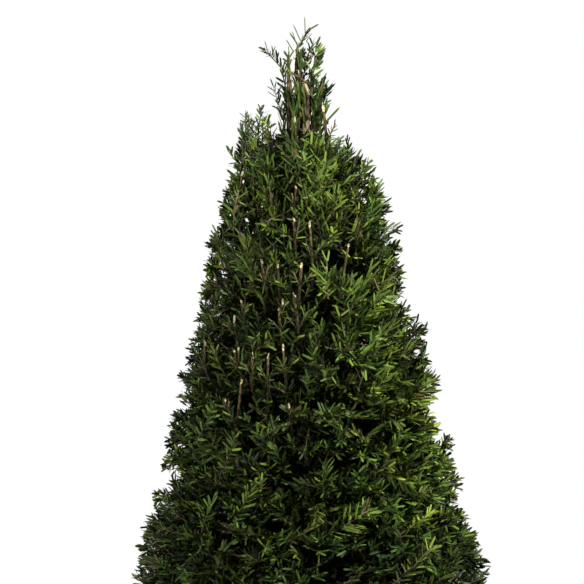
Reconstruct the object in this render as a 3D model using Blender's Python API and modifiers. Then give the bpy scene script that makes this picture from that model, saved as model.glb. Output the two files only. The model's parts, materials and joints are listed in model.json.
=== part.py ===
"""A clipped yew cone in a plain round pot.

The trunk stands on the potting soil and runs up the open middle of the crown to a cut tip.
Boughs leave it in rising tiers, and each ends where it enters its own mass of foliage.
Metres, +Z up, +X to the viewer's right, -Y towards the viewer, origin under the pot.
"""

import math

import bmesh
import bpy
from mathutils import Vector, noise

# Pot and soil
POT_HEIGHT = 0.300
POT_RIM_RADIUS = 0.190
POT_BASE_RADIUS = 0.142
POT_WALL = 0.006
POT_FLOOR = 0.008
RIM_HEIGHT = 0.028
RIM_OVERHANG = 0.009
FOOT_CHAMFER = 0.006
SOIL_BELOW_RIM = 0.030
SOIL_DISH = 0.004
POT_STEPS = 40

# Trunk
TRUNK_TOP = 1.284
TRUNK_BASE_RADIUS = 0.0185
TRUNK_TOP_RADIUS = 0.0048
FLARE_RADIUS = 0.013
FLARE_HEIGHT = 0.035
TRUNK_SWEEP = 0.004
TRUNK_RINGS = 13

# Crown outline: height, then radius on the left and on the right
OUTLINE = (
    (0.330, 0.120, 0.125),
    (0.362, 0.215, 0.225),
    (0.410, 0.278, 0.292),
    (0.470, 0.280, 0.297),
    (0.540, 0.268, 0.284),
    (0.620, 0.244, 0.254),
    (0.673, 0.212, 0.236),
    (0.700, 0.225, 0.231),
    (0.825, 0.196, 0.207),
    (0.895, 0.178, 0.188),
    (0.930, 0.169, 0.142),
    (0.965, 0.163, 0.157),
    (1.065, 0.142, 0.146),
    (1.150, 0.118, 0.112),
    (1.200, 0.112, 0.070),
    (1.245, 0.090, 0.055),
)

# Tiers of foliage: name, height, number of masses, first azimuth
TIERS = (
    ("skirt", 0.425, 5, 18.0),
    ("low", 0.570, 5, 0.0),
    ("middle", 0.735, 5, 36.0),
    ("upper", 0.890, 4, 0.0),
    ("high", 1.040, 3, 60.0),
    ("shoulder", 1.165, 3, 0.0),
)
TIER_TILT = 0.035
SEED_SHARE = 0.64
CORE_SHARE = 0.36
CORE_LEAST = 0.030
MASS_GAP = 0.003
UNEVEN_SHARE = 0.10
UNEVEN_SCALE = 22.0
ROUNDNESS = 4.0
MASS_SEGMENTS = 14
MASS_RINGS = 9

# The spike above the shoulders: name, seed, half sizes, distance from the trunk's middle
SPIKE = (
    ("spike_left", (-0.035, 0.004, 1.252), (0.014, 0.030, 0.060), 0.018),
    ("spike_right", (0.026, -0.004, 1.245), (0.013, 0.030, 0.068), 0.009),
    ("spike_back", (0.002, 0.034, 1.235), (0.030, 0.024, 0.066), 0.009),
    ("spike_tuft", (0.004, 0.002, 1.337), (0.030, 0.026, 0.046), None),
    ("spike_spray", (-0.050, 0.000, 1.332), (0.022, 0.014, 0.018), None),
)

# Boughs
BOUGH_RISE = math.radians(48.0)
BOUGH_RADIUS_SHARE = 0.36
BOUGH_END_SHARE = 0.70
BOUGH_POINTS = 4
LEADER_START = 1.215
LEADER_END = (-0.0085, 0.002, 1.289)
LEADER_RADIUS = 0.0030

UP = Vector((0.0, 0.0, 1.0))
FIT_GAP = 0.0004
BOUGH_GAP = 0.0012

BARK = ("bark", (0.16, 0.095, 0.06, 1.0), 0.85)
FOLIAGE = ("foliage", (0.035, 0.075, 0.02, 1.0), 0.6)
POT_PLASTIC = ("pot", (0.045, 0.047, 0.05, 1.0), 0.55)
SOIL = ("soil", (0.05, 0.033, 0.022, 1.0), 0.95)


# ---------------------------------------------------------------- scene and materials


def clear_scene():
    for obj in list(bpy.data.objects):
        bpy.data.objects.remove(obj, do_unlink=True)


def material(name, colour, roughness):
    """The Principled material of that name, made once."""
    made = bpy.data.materials.get(name)
    if made:
        return made
    made = bpy.data.materials.new(name)
    made.use_nodes = True
    shader = made.node_tree.nodes["Principled BSDF"]
    shader.inputs["Base Color"].default_value = colour
    shader.inputs["Roughness"].default_value = roughness
    shader.inputs["Metallic"].default_value = 0.0
    return made


def add_object(name, data, finish, collection):
    obj = bpy.data.objects.new(name, data)
    collection.objects.link(obj)
    data.materials.append(material(*finish))
    return obj


# ---------------------------------------------------------------- pot and soil


def wall_radius(height):
    """Outer radius of the pot's tapered wall."""
    share = height / POT_HEIGHT
    return POT_BASE_RADIUS + (POT_RIM_RADIUS - RIM_OVERHANG - POT_BASE_RADIUS) * share


def inner_radius(height):
    return wall_radius(height) - POT_WALL


def turned(name, profile, finish, collection):
    """A solid turned about Z from (radius, height) points that run from the top of the axis to its foot."""
    mesh = bpy.data.meshes.new(name)
    edges = [(i, i + 1) for i in range(len(profile) - 1)]
    mesh.from_pydata([(radius, 0.0, height) for radius, height in profile], edges, [])
    obj = add_object(name, mesh, finish, collection)
    screw = obj.modifiers.new("Turn", "SCREW")
    screw.axis = "Z"
    screw.steps = POT_STEPS
    screw.render_steps = POT_STEPS
    screw.use_merge_vertices = True
    screw.merge_threshold = 0.00005
    screw.use_smooth_shade = True
    return obj


def build_pot(collection):
    """An open tapered pot with a flat floor, a chamfered foot and a deep turned-over rim."""
    rim_bottom = POT_HEIGHT - RIM_HEIGHT
    rim_round = RIM_OVERHANG / 3
    profile = [
        (0.0, POT_FLOOR),
        (inner_radius(POT_FLOOR), POT_FLOOR),
        (inner_radius(POT_HEIGHT), POT_HEIGHT - rim_round),
        (inner_radius(POT_HEIGHT) + rim_round, POT_HEIGHT),
        (POT_RIM_RADIUS - rim_round, POT_HEIGHT),
        (POT_RIM_RADIUS, POT_HEIGHT - rim_round),
        (POT_RIM_RADIUS - rim_round / 2, rim_bottom),
        (wall_radius(rim_bottom), rim_bottom - RIM_OVERHANG / 2),
        (wall_radius(FOOT_CHAMFER), FOOT_CHAMFER),
        (wall_radius(0.0) - FOOT_CHAMFER, 0.0),
        (0.0, 0.0),
    ]
    turned("pot", profile, POT_PLASTIC, collection)


def soil_top():
    """Height of the soil round the trunk's foot."""
    return POT_HEIGHT - SOIL_BELOW_RIM


def build_soil(collection):
    """Potting soil filling the pot to below its rim, a little lower midway to the wall."""
    foot = POT_FLOOR + FIT_GAP
    level = soil_top()
    flat = TRUNK_BASE_RADIUS + FLARE_RADIUS + 0.01
    edge = inner_radius(level) - FIT_GAP
    profile = [
        (0.0, level),
        (flat, level),
        ((flat + edge) / 2, level - SOIL_DISH),
        (edge, level - SOIL_DISH / 2),
        (inner_radius(foot) - FIT_GAP, foot),
        (0.0, foot),
    ]
    turned("soil", profile, SOIL, collection)


# ---------------------------------------------------------------- limbs


def trunk_radius(height):
    """Tapers evenly to the cut tip, and flares where it meets the soil."""
    above = height - soil_top()
    share = above / (TRUNK_TOP - soil_top())
    flare = FLARE_RADIUS * math.exp(-3.0 * above / FLARE_HEIGHT)
    return TRUNK_BASE_RADIUS + (TRUNK_TOP_RADIUS - TRUNK_BASE_RADIUS) * share + flare


def trunk_centre(height):
    """The trunk's middle, which sweeps gently to one side and back, and ends on the right of the spike."""
    share = (height - soil_top()) / (TRUNK_TOP - soil_top())
    return Vector(
        (
            TRUNK_SWEEP * math.sin(2 * math.pi * share) + TRUNK_SWEEP * share,
            TRUNK_SWEEP * math.sin(3 * math.pi * share),
            height,
        )
    )


def limb_mesh(name, points, radii, resolution):
    """A closed tapering tube through the points."""
    curve = bpy.data.curves.new(name, "CURVE")
    curve.dimensions = "3D"
    curve.bevel_depth = 1.0
    curve.bevel_resolution = resolution
    curve.use_fill_caps = True
    spline = curve.splines.new("POLY")
    spline.points.add(len(points) - 1)
    for spot, point, radius in zip(spline.points, points, radii):
        spot.co = (*point, 1.0)
        spot.radius = radius
    guide = bpy.data.objects.new(name, curve)
    bpy.context.scene.collection.objects.link(guide)
    graph = bpy.context.evaluated_depsgraph_get()
    mesh = bpy.data.meshes.new_from_object(guide.evaluated_get(graph))
    mesh.name = name
    mesh.transform(guide.matrix_world)
    bpy.data.objects.remove(guide)
    bpy.data.curves.remove(curve)
    shape = bmesh.new()
    shape.from_mesh(mesh)
    bmesh.ops.remove_doubles(shape, verts=shape.verts, dist=0.00001)
    bmesh.ops.recalc_face_normals(shape, faces=shape.faces)
    shape.to_mesh(mesh)
    shape.free()
    mesh.materials.clear()
    return mesh


def trim(mesh, point, outward):
    """Cuts away what lies beyond a plane, and closes the cut with a flat face."""
    shape = bmesh.new()
    shape.from_mesh(mesh)
    everything = [*shape.verts, *shape.edges, *shape.faces]
    cut = bmesh.ops.bisect_plane(
        shape, geom=everything, plane_co=point, plane_no=outward, clear_outer=True
    )
    rim = [item for item in cut["geom_cut"] if isinstance(item, bmesh.types.BMEdge)]
    bmesh.ops.contextual_create(shape, geom=rim)
    bmesh.ops.recalc_face_normals(shape, faces=shape.faces)
    shape.to_mesh(mesh)
    shape.free()


def build_trunk(collection):
    foot = soil_top() + FIT_GAP
    low_rings = [foot + FLARE_HEIGHT * share for share in (0.0, 0.3, 0.7)]
    start = foot + 1.6 * FLARE_HEIGHT
    high_rings = [
        start + (TRUNK_TOP - start) * ring / (TRUNK_RINGS - 1)
        for ring in range(TRUNK_RINGS)
    ]
    heights = low_rings + high_rings
    points = [trunk_centre(height) for height in heights]
    radii = [trunk_radius(height) for height in heights]
    mesh = limb_mesh("trunk", points, radii, 4)
    trim(mesh, Vector((0.0, 0.0, foot)), Vector((0.0, 0.0, -1.0)))
    mesh.shade_smooth()
    add_object("trunk", mesh, BARK, collection)


def build_bough(mass, collection):
    """One limb that rises from the trunk to the inner face of its mass, curving upwards."""
    name = f"bough_{mass['name']}"
    out = mass["outward"]
    entry = mass["seed"] - out * mass["inner"]
    run = (entry - trunk_centre(entry.z)).dot(out)
    start = trunk_centre(entry.z - run * math.tan(BOUGH_RISE))
    thick = trunk_radius(start.z) * BOUGH_RADIUS_SHARE
    past = entry + out * thick * 2 + Vector((0.0, 0.0, thick * 3))
    bend = start.lerp(entry, 0.5) - Vector((0.0, 0.0, run * 0.15))
    points = []
    for step in range(BOUGH_POINTS):
        share = step / (BOUGH_POINTS - 1)
        points.append(start.lerp(bend, share).lerp(bend.lerp(entry, share), share))
    points.append(past)
    radii = [
        thick * (1 + (BOUGH_END_SHARE - 1) * index / BOUGH_POINTS)
        for index in range(len(points))
    ]
    mesh = limb_mesh(name, points, radii, 1)
    clear = trunk_radius(start.z) + BOUGH_GAP
    trim(mesh, trunk_centre(start.z + clear) + out * clear, -out)
    trim(mesh, entry - out * BOUGH_GAP, out)
    mesh.shade_smooth()
    add_object(name, mesh, BARK, collection)


def build_leader(collection):
    """The thin side leader that carries the tuft above the trunk's cut tip."""
    start = trunk_centre(LEADER_START)
    end = Vector(LEADER_END)
    clear = trunk_radius(LEADER_START) + LEADER_RADIUS + FIT_GAP
    beside = start + Vector((-clear - BOUGH_GAP, 0.0, 0.3 * (end.z - start.z)))
    points = [start, beside, beside.lerp(end, 0.5), end]
    radii = [LEADER_RADIUS * share for share in (1.0, 1.0, 0.9, 0.8)]
    mesh = limb_mesh("leader", points, radii, 1)
    tangent = start.x - trunk_radius(LEADER_START) - FIT_GAP
    trim(mesh, Vector((tangent, 0.0, 0.0)), Vector((1.0, 0.0, 0.0)))
    mesh.shade_smooth()
    add_object("leader", mesh, BARK, collection)


# ---------------------------------------------------------------- crown


def crown_radius(point):
    """The outline's radius at a point's height and side: left and right blend through front and back."""
    low, high = OUTLINE[0], OUTLINE[-1]
    for below, above in zip(OUTLINE, OUTLINE[1:]):
        if below[0] <= point.z <= above[0]:
            low, high = below, above
    share = (point.z - low[0]) / (high[0] - low[0])
    left = low[1] + (high[1] - low[1]) * share
    right = low[2] + (high[2] - low[2]) * share
    across = math.hypot(point.x, point.y)
    side = point.x / across if across else 0.0
    return left * (1 - side) / 2 + right * (1 + side) / 2


def inside_crown(point):
    if not OUTLINE[0][0] <= point.z <= OUTLINE[-1][0]:
        return False
    return math.hypot(point.x, point.y) <= crown_radius(point)


def tier_masses():
    """Seeds of the masses, spread round each tilted tier, with half sizes along, across and up."""
    masses = []
    for tier, (name, height, count, first) in enumerate(TIERS):
        heights = [row[1] for row in TIERS]
        below = heights[tier] - heights[tier - 1] if tier else heights[1] - heights[0]
        for index in range(count):
            azimuth = math.radians(first + 360.0 * index / count)
            out = Vector((math.cos(azimuth), math.sin(azimuth), 0.0))
            level = Vector((0.0, 0.0, height - TIER_TILT * out.x))
            radius = crown_radius(level + out * 0.1)
            seed = level + out * radius * SEED_SHARE
            core = max(radius * CORE_SHARE, CORE_LEAST)
            halves = (
                radius * (1 - SEED_SHARE) * 1.25,
                radius * SEED_SHARE * math.tan(math.pi / count) * 1.3,
                below * 0.66,
            )
            masses.append(
                {
                    "name": f"{name}_{index + 1}",
                    "seed": seed,
                    "outward": out,
                    "inner": radius * SEED_SHARE - core,
                    "halves": halves,
                    "in_crown": True,
                }
            )
    return masses


def spike_masses():
    masses = []
    for name, seed, halves, core in SPIKE:
        seed = Vector(seed)
        out = Vector((seed.x, seed.y, 0.0)).normalized()
        from_trunk = (seed - trunk_centre(min(seed.z, TRUNK_TOP))).dot(out)
        inner = from_trunk - core if core else halves[0] * 2
        masses.append(
            {
                "name": name,
                "seed": seed,
                "outward": out,
                "inner": inner,
                "halves": halves,
                "in_crown": False,
            }
        )
    return masses


def walls_of(mass, masses):
    """The planes that a mass keeps behind: one halfway to each other mass, and one that leaves the core free."""
    walls = [(-mass["outward"], mass["inner"])]
    for other in masses:
        if other is mass:
            continue
        towards = other["seed"] - mass["seed"]
        walls.append((towards.normalized(), (towards.length - MASS_GAP) / 2))
    return walls


def frame_of(mass):
    """The two level directions that the mass's half sizes are measured along."""
    if mass["in_crown"]:
        out = mass["outward"]
        return out, Vector((-out.y, out.x, 0.0))
    return Vector((1.0, 0.0, 0.0)), Vector((0.0, 1.0, 0.0))


def rounded_reach(direction, mass):
    """Distance to the mass's own outline, a box of its half sizes with well rounded corners."""
    out, across = frame_of(mass)
    parts = (direction.dot(out), direction.dot(across), direction.z)
    total = sum(
        abs(part / half) ** ROUNDNESS for part, half in zip(parts, mass["halves"])
    )
    return total ** (-1 / ROUNDNESS)


def reach(direction, mass, walls):
    """How far the foliage grows from the seed in one direction."""
    limits = [rounded_reach(direction, mass)]
    limits += [
        distance / direction.dot(normal)
        for normal, distance in walls
        if direction.dot(normal) > 1e-6
    ]
    length = min(limits)
    while mass["in_crown"] and not inside_crown(mass["seed"] + direction * length):
        length *= 0.985
    bump = 0.5 + 0.5 * noise.noise((mass["seed"] + direction * 0.1) * UNEVEN_SCALE)
    outer = (1 + direction.dot(mass["outward"])) / 2
    return length * (1 - UNEVEN_SHARE * bump * outer)


def build_mass(mass, walls, collection):
    """A closed uneven lump, grown from a sphere by moving each vertex out to the mass's reach."""
    shape = bmesh.new()
    bmesh.ops.create_uvsphere(
        shape, u_segments=MASS_SEGMENTS, v_segments=MASS_RINGS, radius=1.0
    )
    out, across = frame_of(mass)
    for vertex in shape.verts:
        along, sideways, up = (
            part * half for part, half in zip(vertex.co, mass["halves"])
        )
        direction = (out * along + across * sideways + UP * up).normalized()
        vertex.co = mass["seed"] + direction * reach(direction, mass, walls)
    bmesh.ops.triangulate(shape, faces=shape.faces)
    name = f"mass_{mass['name']}"
    mesh = bpy.data.meshes.new(name)
    shape.to_mesh(mesh)
    shape.free()
    mesh.shade_smooth()
    add_object(name, mesh, FOLIAGE, collection)


def build_crown(collection):
    tiers = tier_masses()
    masses = tiers + spike_masses()
    for mass in masses:
        build_mass(mass, walls_of(mass, masses), collection)
    for mass in tiers:
        build_bough(mass, collection)


def main():
    clear_scene()
    plant = bpy.data.collections.new("potted_yew")
    bpy.context.scene.collection.children.link(plant)
    build_pot(plant)
    build_soil(plant)
    build_trunk(plant)
    build_leader(plant)
    build_crown(plant)


main()
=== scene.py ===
import json
import math
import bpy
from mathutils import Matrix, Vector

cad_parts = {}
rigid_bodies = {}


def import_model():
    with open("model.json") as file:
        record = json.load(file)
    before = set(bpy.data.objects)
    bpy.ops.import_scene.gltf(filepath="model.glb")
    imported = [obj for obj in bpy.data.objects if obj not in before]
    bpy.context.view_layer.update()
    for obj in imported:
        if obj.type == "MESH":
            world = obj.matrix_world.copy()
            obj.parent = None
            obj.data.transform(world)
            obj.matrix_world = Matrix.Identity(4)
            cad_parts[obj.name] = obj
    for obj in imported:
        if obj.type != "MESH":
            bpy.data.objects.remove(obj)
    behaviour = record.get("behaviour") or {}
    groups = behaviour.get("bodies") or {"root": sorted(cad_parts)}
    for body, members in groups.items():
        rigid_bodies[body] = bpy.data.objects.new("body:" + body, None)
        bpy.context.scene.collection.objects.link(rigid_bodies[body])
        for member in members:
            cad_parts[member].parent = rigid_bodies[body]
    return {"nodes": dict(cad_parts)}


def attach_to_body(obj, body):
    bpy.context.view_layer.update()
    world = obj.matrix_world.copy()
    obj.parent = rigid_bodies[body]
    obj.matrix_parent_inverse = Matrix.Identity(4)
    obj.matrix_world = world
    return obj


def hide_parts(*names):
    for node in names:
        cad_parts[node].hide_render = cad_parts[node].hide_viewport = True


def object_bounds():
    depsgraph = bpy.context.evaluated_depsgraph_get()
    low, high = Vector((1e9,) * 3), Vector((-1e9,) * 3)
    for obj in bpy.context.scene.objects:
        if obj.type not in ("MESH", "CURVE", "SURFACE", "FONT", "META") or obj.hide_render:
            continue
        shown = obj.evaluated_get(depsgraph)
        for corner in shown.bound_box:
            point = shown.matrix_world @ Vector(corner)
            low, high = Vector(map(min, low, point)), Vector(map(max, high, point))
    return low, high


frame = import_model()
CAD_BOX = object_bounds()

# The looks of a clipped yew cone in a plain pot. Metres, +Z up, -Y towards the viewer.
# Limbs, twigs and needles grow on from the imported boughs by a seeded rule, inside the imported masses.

from types import SimpleNamespace

import bmesh
import bpy
import numpy as np
from mathutils import Vector, noise
from mathutils.bvhtree import BVHTree
from mathutils.kdtree import KDTree

SEED = 52
BODY = "root"
UP = np.array((0.0, 0.0, 1.0))
BAKE_MAP = "OFBake"

# Camera: its place, and the width of the picture at the trunk
CAMERA = np.array((-0.020, -3.200, 0.958))
PICTURE_WIDTH = 0.905
SENSOR_WIDTH = 36.0

# Crown zones, as heights; those named for light or shade place the painted light and shade in the sprays'
# tones
SPIKE_BARE = 1.212
SPIKE_FOOT = 1.170
SHOULDER = 1.100
LONG_NEEDLES_ABOVE = 0.98
TOP_SHADE = 1.02
SIDE_LIGHT = 0.93
SHORT_NEEDLES_BELOW = 0.80
EVEN_LIGHT = 0.77
WAIST = 0.750
SKIRT_LIGHT = 0.73
FOOT_SHADE = 0.68
SKIRT_TOP = 0.420

# Pot, soil and trunk
POT_HEIGHT = 0.300
POT_RIM_RADIUS = 0.190
POT_BASE_RADIUS = 0.142
POT_WALL = 0.006
POT_FLOOR = 0.008
RIM_HEIGHT = 0.028
RIM_OVERHANG = 0.009
RIM_ROUND = 0.0045
LIP_ROUND = 0.003
FOOT_HEIGHT = 0.004
BEAD_HEIGHTS = (0.052, 0.060, 0.232, 0.240)
BEAD = 0.0008
POT_SIDES = 144
DRAIN_HOLES = 8
DRAIN_RADII = (0.098, 0.118)
SOIL_TOP = 0.270
SOIL_DISH = 0.004
TRUNK_TOP = 1.284
CUT_HALF_HEIGHT = 0.011
CUT_BELOW = 0.055
CUT_FACING = (0.86, -0.50)
BARE_TRUNK = 0.078
TRUNK_TOP_BARE = 0.0042

# Growth, each for the weakest and the strongest shoots
SHOOT_LENGTH = (0.040, 0.088)
HIGH_NEEDLE_LENGTH = (0.0180, 0.0285)
LOW_NEEDLE_LENGTH = (0.0175, 0.0225)
SPRAY_SPACING = (0.017, 0.026)
SIDE_SHOOTS = (0.9, 3.6)
SIDE_ANGLE = (26.0, 46.0)
HOLLOW_SHARE = (0.35, 0.90)
ROW_SPREAD = (6.2, 5.2)

# What each zone adds to the vigour of a place, from 0 to 1, and to the flatness of the needles' two ranks
VIGOUR = {"least": 0.14, "right": 0.66, "low": 0.12, "high": 0.25, "patch": 0.25}
VIGOUR_RATE = 9.0
FLATNESS = {"least": 0.34, "right": 0.30, "low": 0.20, "patch": 0.55}
FLATNESS_RATE = 12.0

# How steeply shoots rise on the right and the left, in degrees, from what height more steeply, and how varied
LOW_RISE = (23.0, 30.0)
HIGH_RISE = (54.0, 72.0)
STEEPER_FROM = 0.80
STEEPER_OVER = 0.22
RISE_SPREAD = 18
UNDERSIDE_DROOP = 12

# How far they turn aside, in radians
TURN_SPREAD = 0.42

# Growth, and the depth behind the surface at which needles reach their darkest painted shade, each for the
# short needles low down and the long ones high up
NEEDLE_WIDTH = (0.0036, 0.0034)
NEEDLE_STEP = (0.0025, 0.0036)
PAINTED_SHADE_DEPTH = (0.044, 0.032)

# Sprays: tries at a place for one, how far it stays from a placed shoot, and the hollows between tufts
TIP_TRIES = 26000
CLEAR_OF_PLACED = 0.010
SHORTEST_SHOOT = 0.020
HOLLOW_DEPTH = 0.034
HOLLOW_RATES = (17.0, 17.0, 33.0)
LOW_HOLLOWS = 0.45
KEPT_FROM_MIDDLE = 0.012

# Upright shoots in the spike, apart from the sides where the trunk shows between them
SPIKE_SHOOTS = 24
SPIKE_FEET = (1.165, 1.245)
SPIKE_SHOOT_LENGTH = (0.045, 0.075)
SPIKE_NEEDLE = (0.020, 0.027)
TRUNK_SHOWS_AT = 0.006
TRUNK_SHOWS = 0.010

# Notches between the masses: where they are looked for and on which grid, how deep, and how they are filled
NOTCH_ZONE = (0.36, 1.12)
NOTCH_STEP = 0.014
NOTCH_TURN = 6.0
NOTCH_REACH = 3
NOTCH_DEPTH = 0.028
NOTCH_SUNK = (0.008, 0.024)

# Behind the surface: how deep the shoots lie that close the crown, which take dark tones as painted shade,
# and how many for each outer spray
INNER_LAYERS = ((0.016, 0.034, 0.32), (0.026, 0.058, 0.62), (0.055, 0.110, 0.55))

# Clipped stems
STUB_RECESS = 0.006
STUB_SHOOTS = 3
STUB_HIDDEN = 0.070
STUB_WIDTH = 0.92
STUB_SHOWN = 0.95
STUB_SIDES = 10
STUB_CLEAR = 0.026

# More clipped stems on the sides and the back, turned from the plant's right round the back to its left
MORE_STUBS = 34
MORE_STUB_HEIGHTS = (0.62, 1.19)
MORE_STUB_TURNS = (5, 175)
MORE_STUB_LENGTH = (0.02, 0.05)
MORE_STUB_RADIUS = (0.0013, 0.0019)

# Wood
WOOD_PLACES = 60000
TWIG_RADIUS = 0.00080
TWIG_GROWTH = 0.40
LIMB_LIMIT = 0.0042
LIMB_SPACING = 0.060
# The depth behind the crown's surface at which the wood's painted shade is darkest
WOOD_PAINTED_SHADE_DEPTH = 0.05
CLIPPED_SHARE = 0.45
SPRAY_PATH = 5
LIMB_PATH = 7
LIMB_DEPTH = 0.055

# What a turn at either end of new wood and a start too near its target cost, against its length
LEAVE_COST = 0.9
ARRIVE_COST = 0.8
TOO_NEAR = 0.006
TOO_NEAR_COST = 0.02

# Needles: where along one it is tested, where along a shoot its depth is taken for the painted shade, and the
# map's rows and hues
NEEDLE_SHARES = (0.1, 0.3, 0.5, 0.7, 0.9)
SHADE_SHARES = (0.0, 0.35, 0.7, 1.0)
ROWS = 16
HUES = 3
# How many rows of the map the painted shade takes off a needle at its deepest
PAINTED_SHADE_ROWS = 10.0
DRY_SHARE = 0.014
PAST_BOX = 0.007
MOST_NEEDLES = 49000
LEAF_TURN = math.radians(137.5)

# How much broader than life needles are in tufts and below the surface, and how far they lean out, in degrees
BROADER = 1.35
BROADEST = 2.1
BROAD_BELOW = 0.05
NEEDLE_LEAN = (52, 60)
NEEDLES_CLOSING = (14, 34)

# Needle colours by the tone of a spray, and the painted light a spray gets below which it takes each tone.
# The deep and dark tones are painted shade; the lighter tones are partly painted light and partly the
# yellower green of young shoots
TONE_COLOURS = {
    "deep": (0.016, 0.026, 0.005),
    "dark": (0.0220, 0.0375, 0.0085),
    "mid": (0.039, 0.063, 0.013),
    "leafy": (0.058, 0.093, 0.017),
    "fresh": (0.087, 0.130, 0.023),
    "lime": (0.115, 0.168, 0.030),
    "dry": (0.070, 0.042, 0.020),
}
TONE_LIMITS = (("dark", 0.18), ("mid", 0.52), ("leafy", 0.90), ("fresh", 1.25))
DEEP_SHARE = 0.7
MEAN_LIGHT = 0.47
LIGHT_SPREAD = 0.15
HUE_TINTS = ((1.08, 0.97, 0.84), (0.93, 1.0, 0.85), (0.80, 0.97, 1.0))

# Which side of a shoot its needles stand on, and the depth of a shoot whose tip lies on the crown's front
BOTH = "both"
LEFT = "left"
RIGHT = "right"
ROUND = "round"
CLOSE = "close"
TUFT = "tuft"
FRONT = None
TIP_PROUD = 0.003
FOOT_SUNK = 0.024

# What shows in the photo's own places is given by its side and height on the trunk's plane, in metres.
# Cut stubs: side, height of the top, length, radius, lean to the right
STUBS = (
    (0.028, 1.248, 0.056, 0.0026, 0.00),
    (-0.016, 1.230, 0.046, 0.0019, 0.02),
    (-0.096, 1.146, 0.034, 0.0022, -0.08),
    (-0.014, 1.123, 0.038, 0.0021, 0.06),
    (-0.049, 1.113, 0.042, 0.0021, -0.42),
    (-0.067, 1.096, 0.012, 0.0019, 0.00),
    (-0.017, 1.074, 0.034, 0.0023, -0.04),
    (0.007, 1.069, 0.058, 0.0022, 0.05),
    (0.068, 1.033, 0.072, 0.0019, -0.05),
    (-0.067, 1.010, 0.034, 0.0024, 0.02),
    (-0.005, 1.004, 0.032, 0.0026, 0.04),
    (-0.042, 1.002, 0.028, 0.0020, -0.02),
    (-0.017, 0.958, 0.056, 0.0026, 0.05),
    (-0.034, 0.948, 0.018, 0.0018, 0.00),
    (-0.099, 0.946, 0.022, 0.0019, 0.03),
    (-0.040, 0.932, 0.028, 0.0022, 0.02),
    (-0.110, 0.923, 0.028, 0.0022, 0.08),
    (-0.155, 0.884, 0.038, 0.0022, 0.00),
    (-0.034, 0.878, 0.040, 0.0020, -0.05),
    (-0.103, 0.872, 0.022, 0.0017, -0.06),
    (-0.110, 0.869, 0.024, 0.0017, 0.30),
    (-0.080, 0.865, 0.028, 0.0020, 0.05),
    (-0.057, 0.864, 0.038, 0.0020, 0.06),
    (-0.098, 0.822, 0.070, 0.0023, -0.06),
    (-0.124, 0.793, 0.010, 0.0019, 0.10),
    (-0.025, 0.786, 0.012, 0.0017, 0.00),
)

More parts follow.
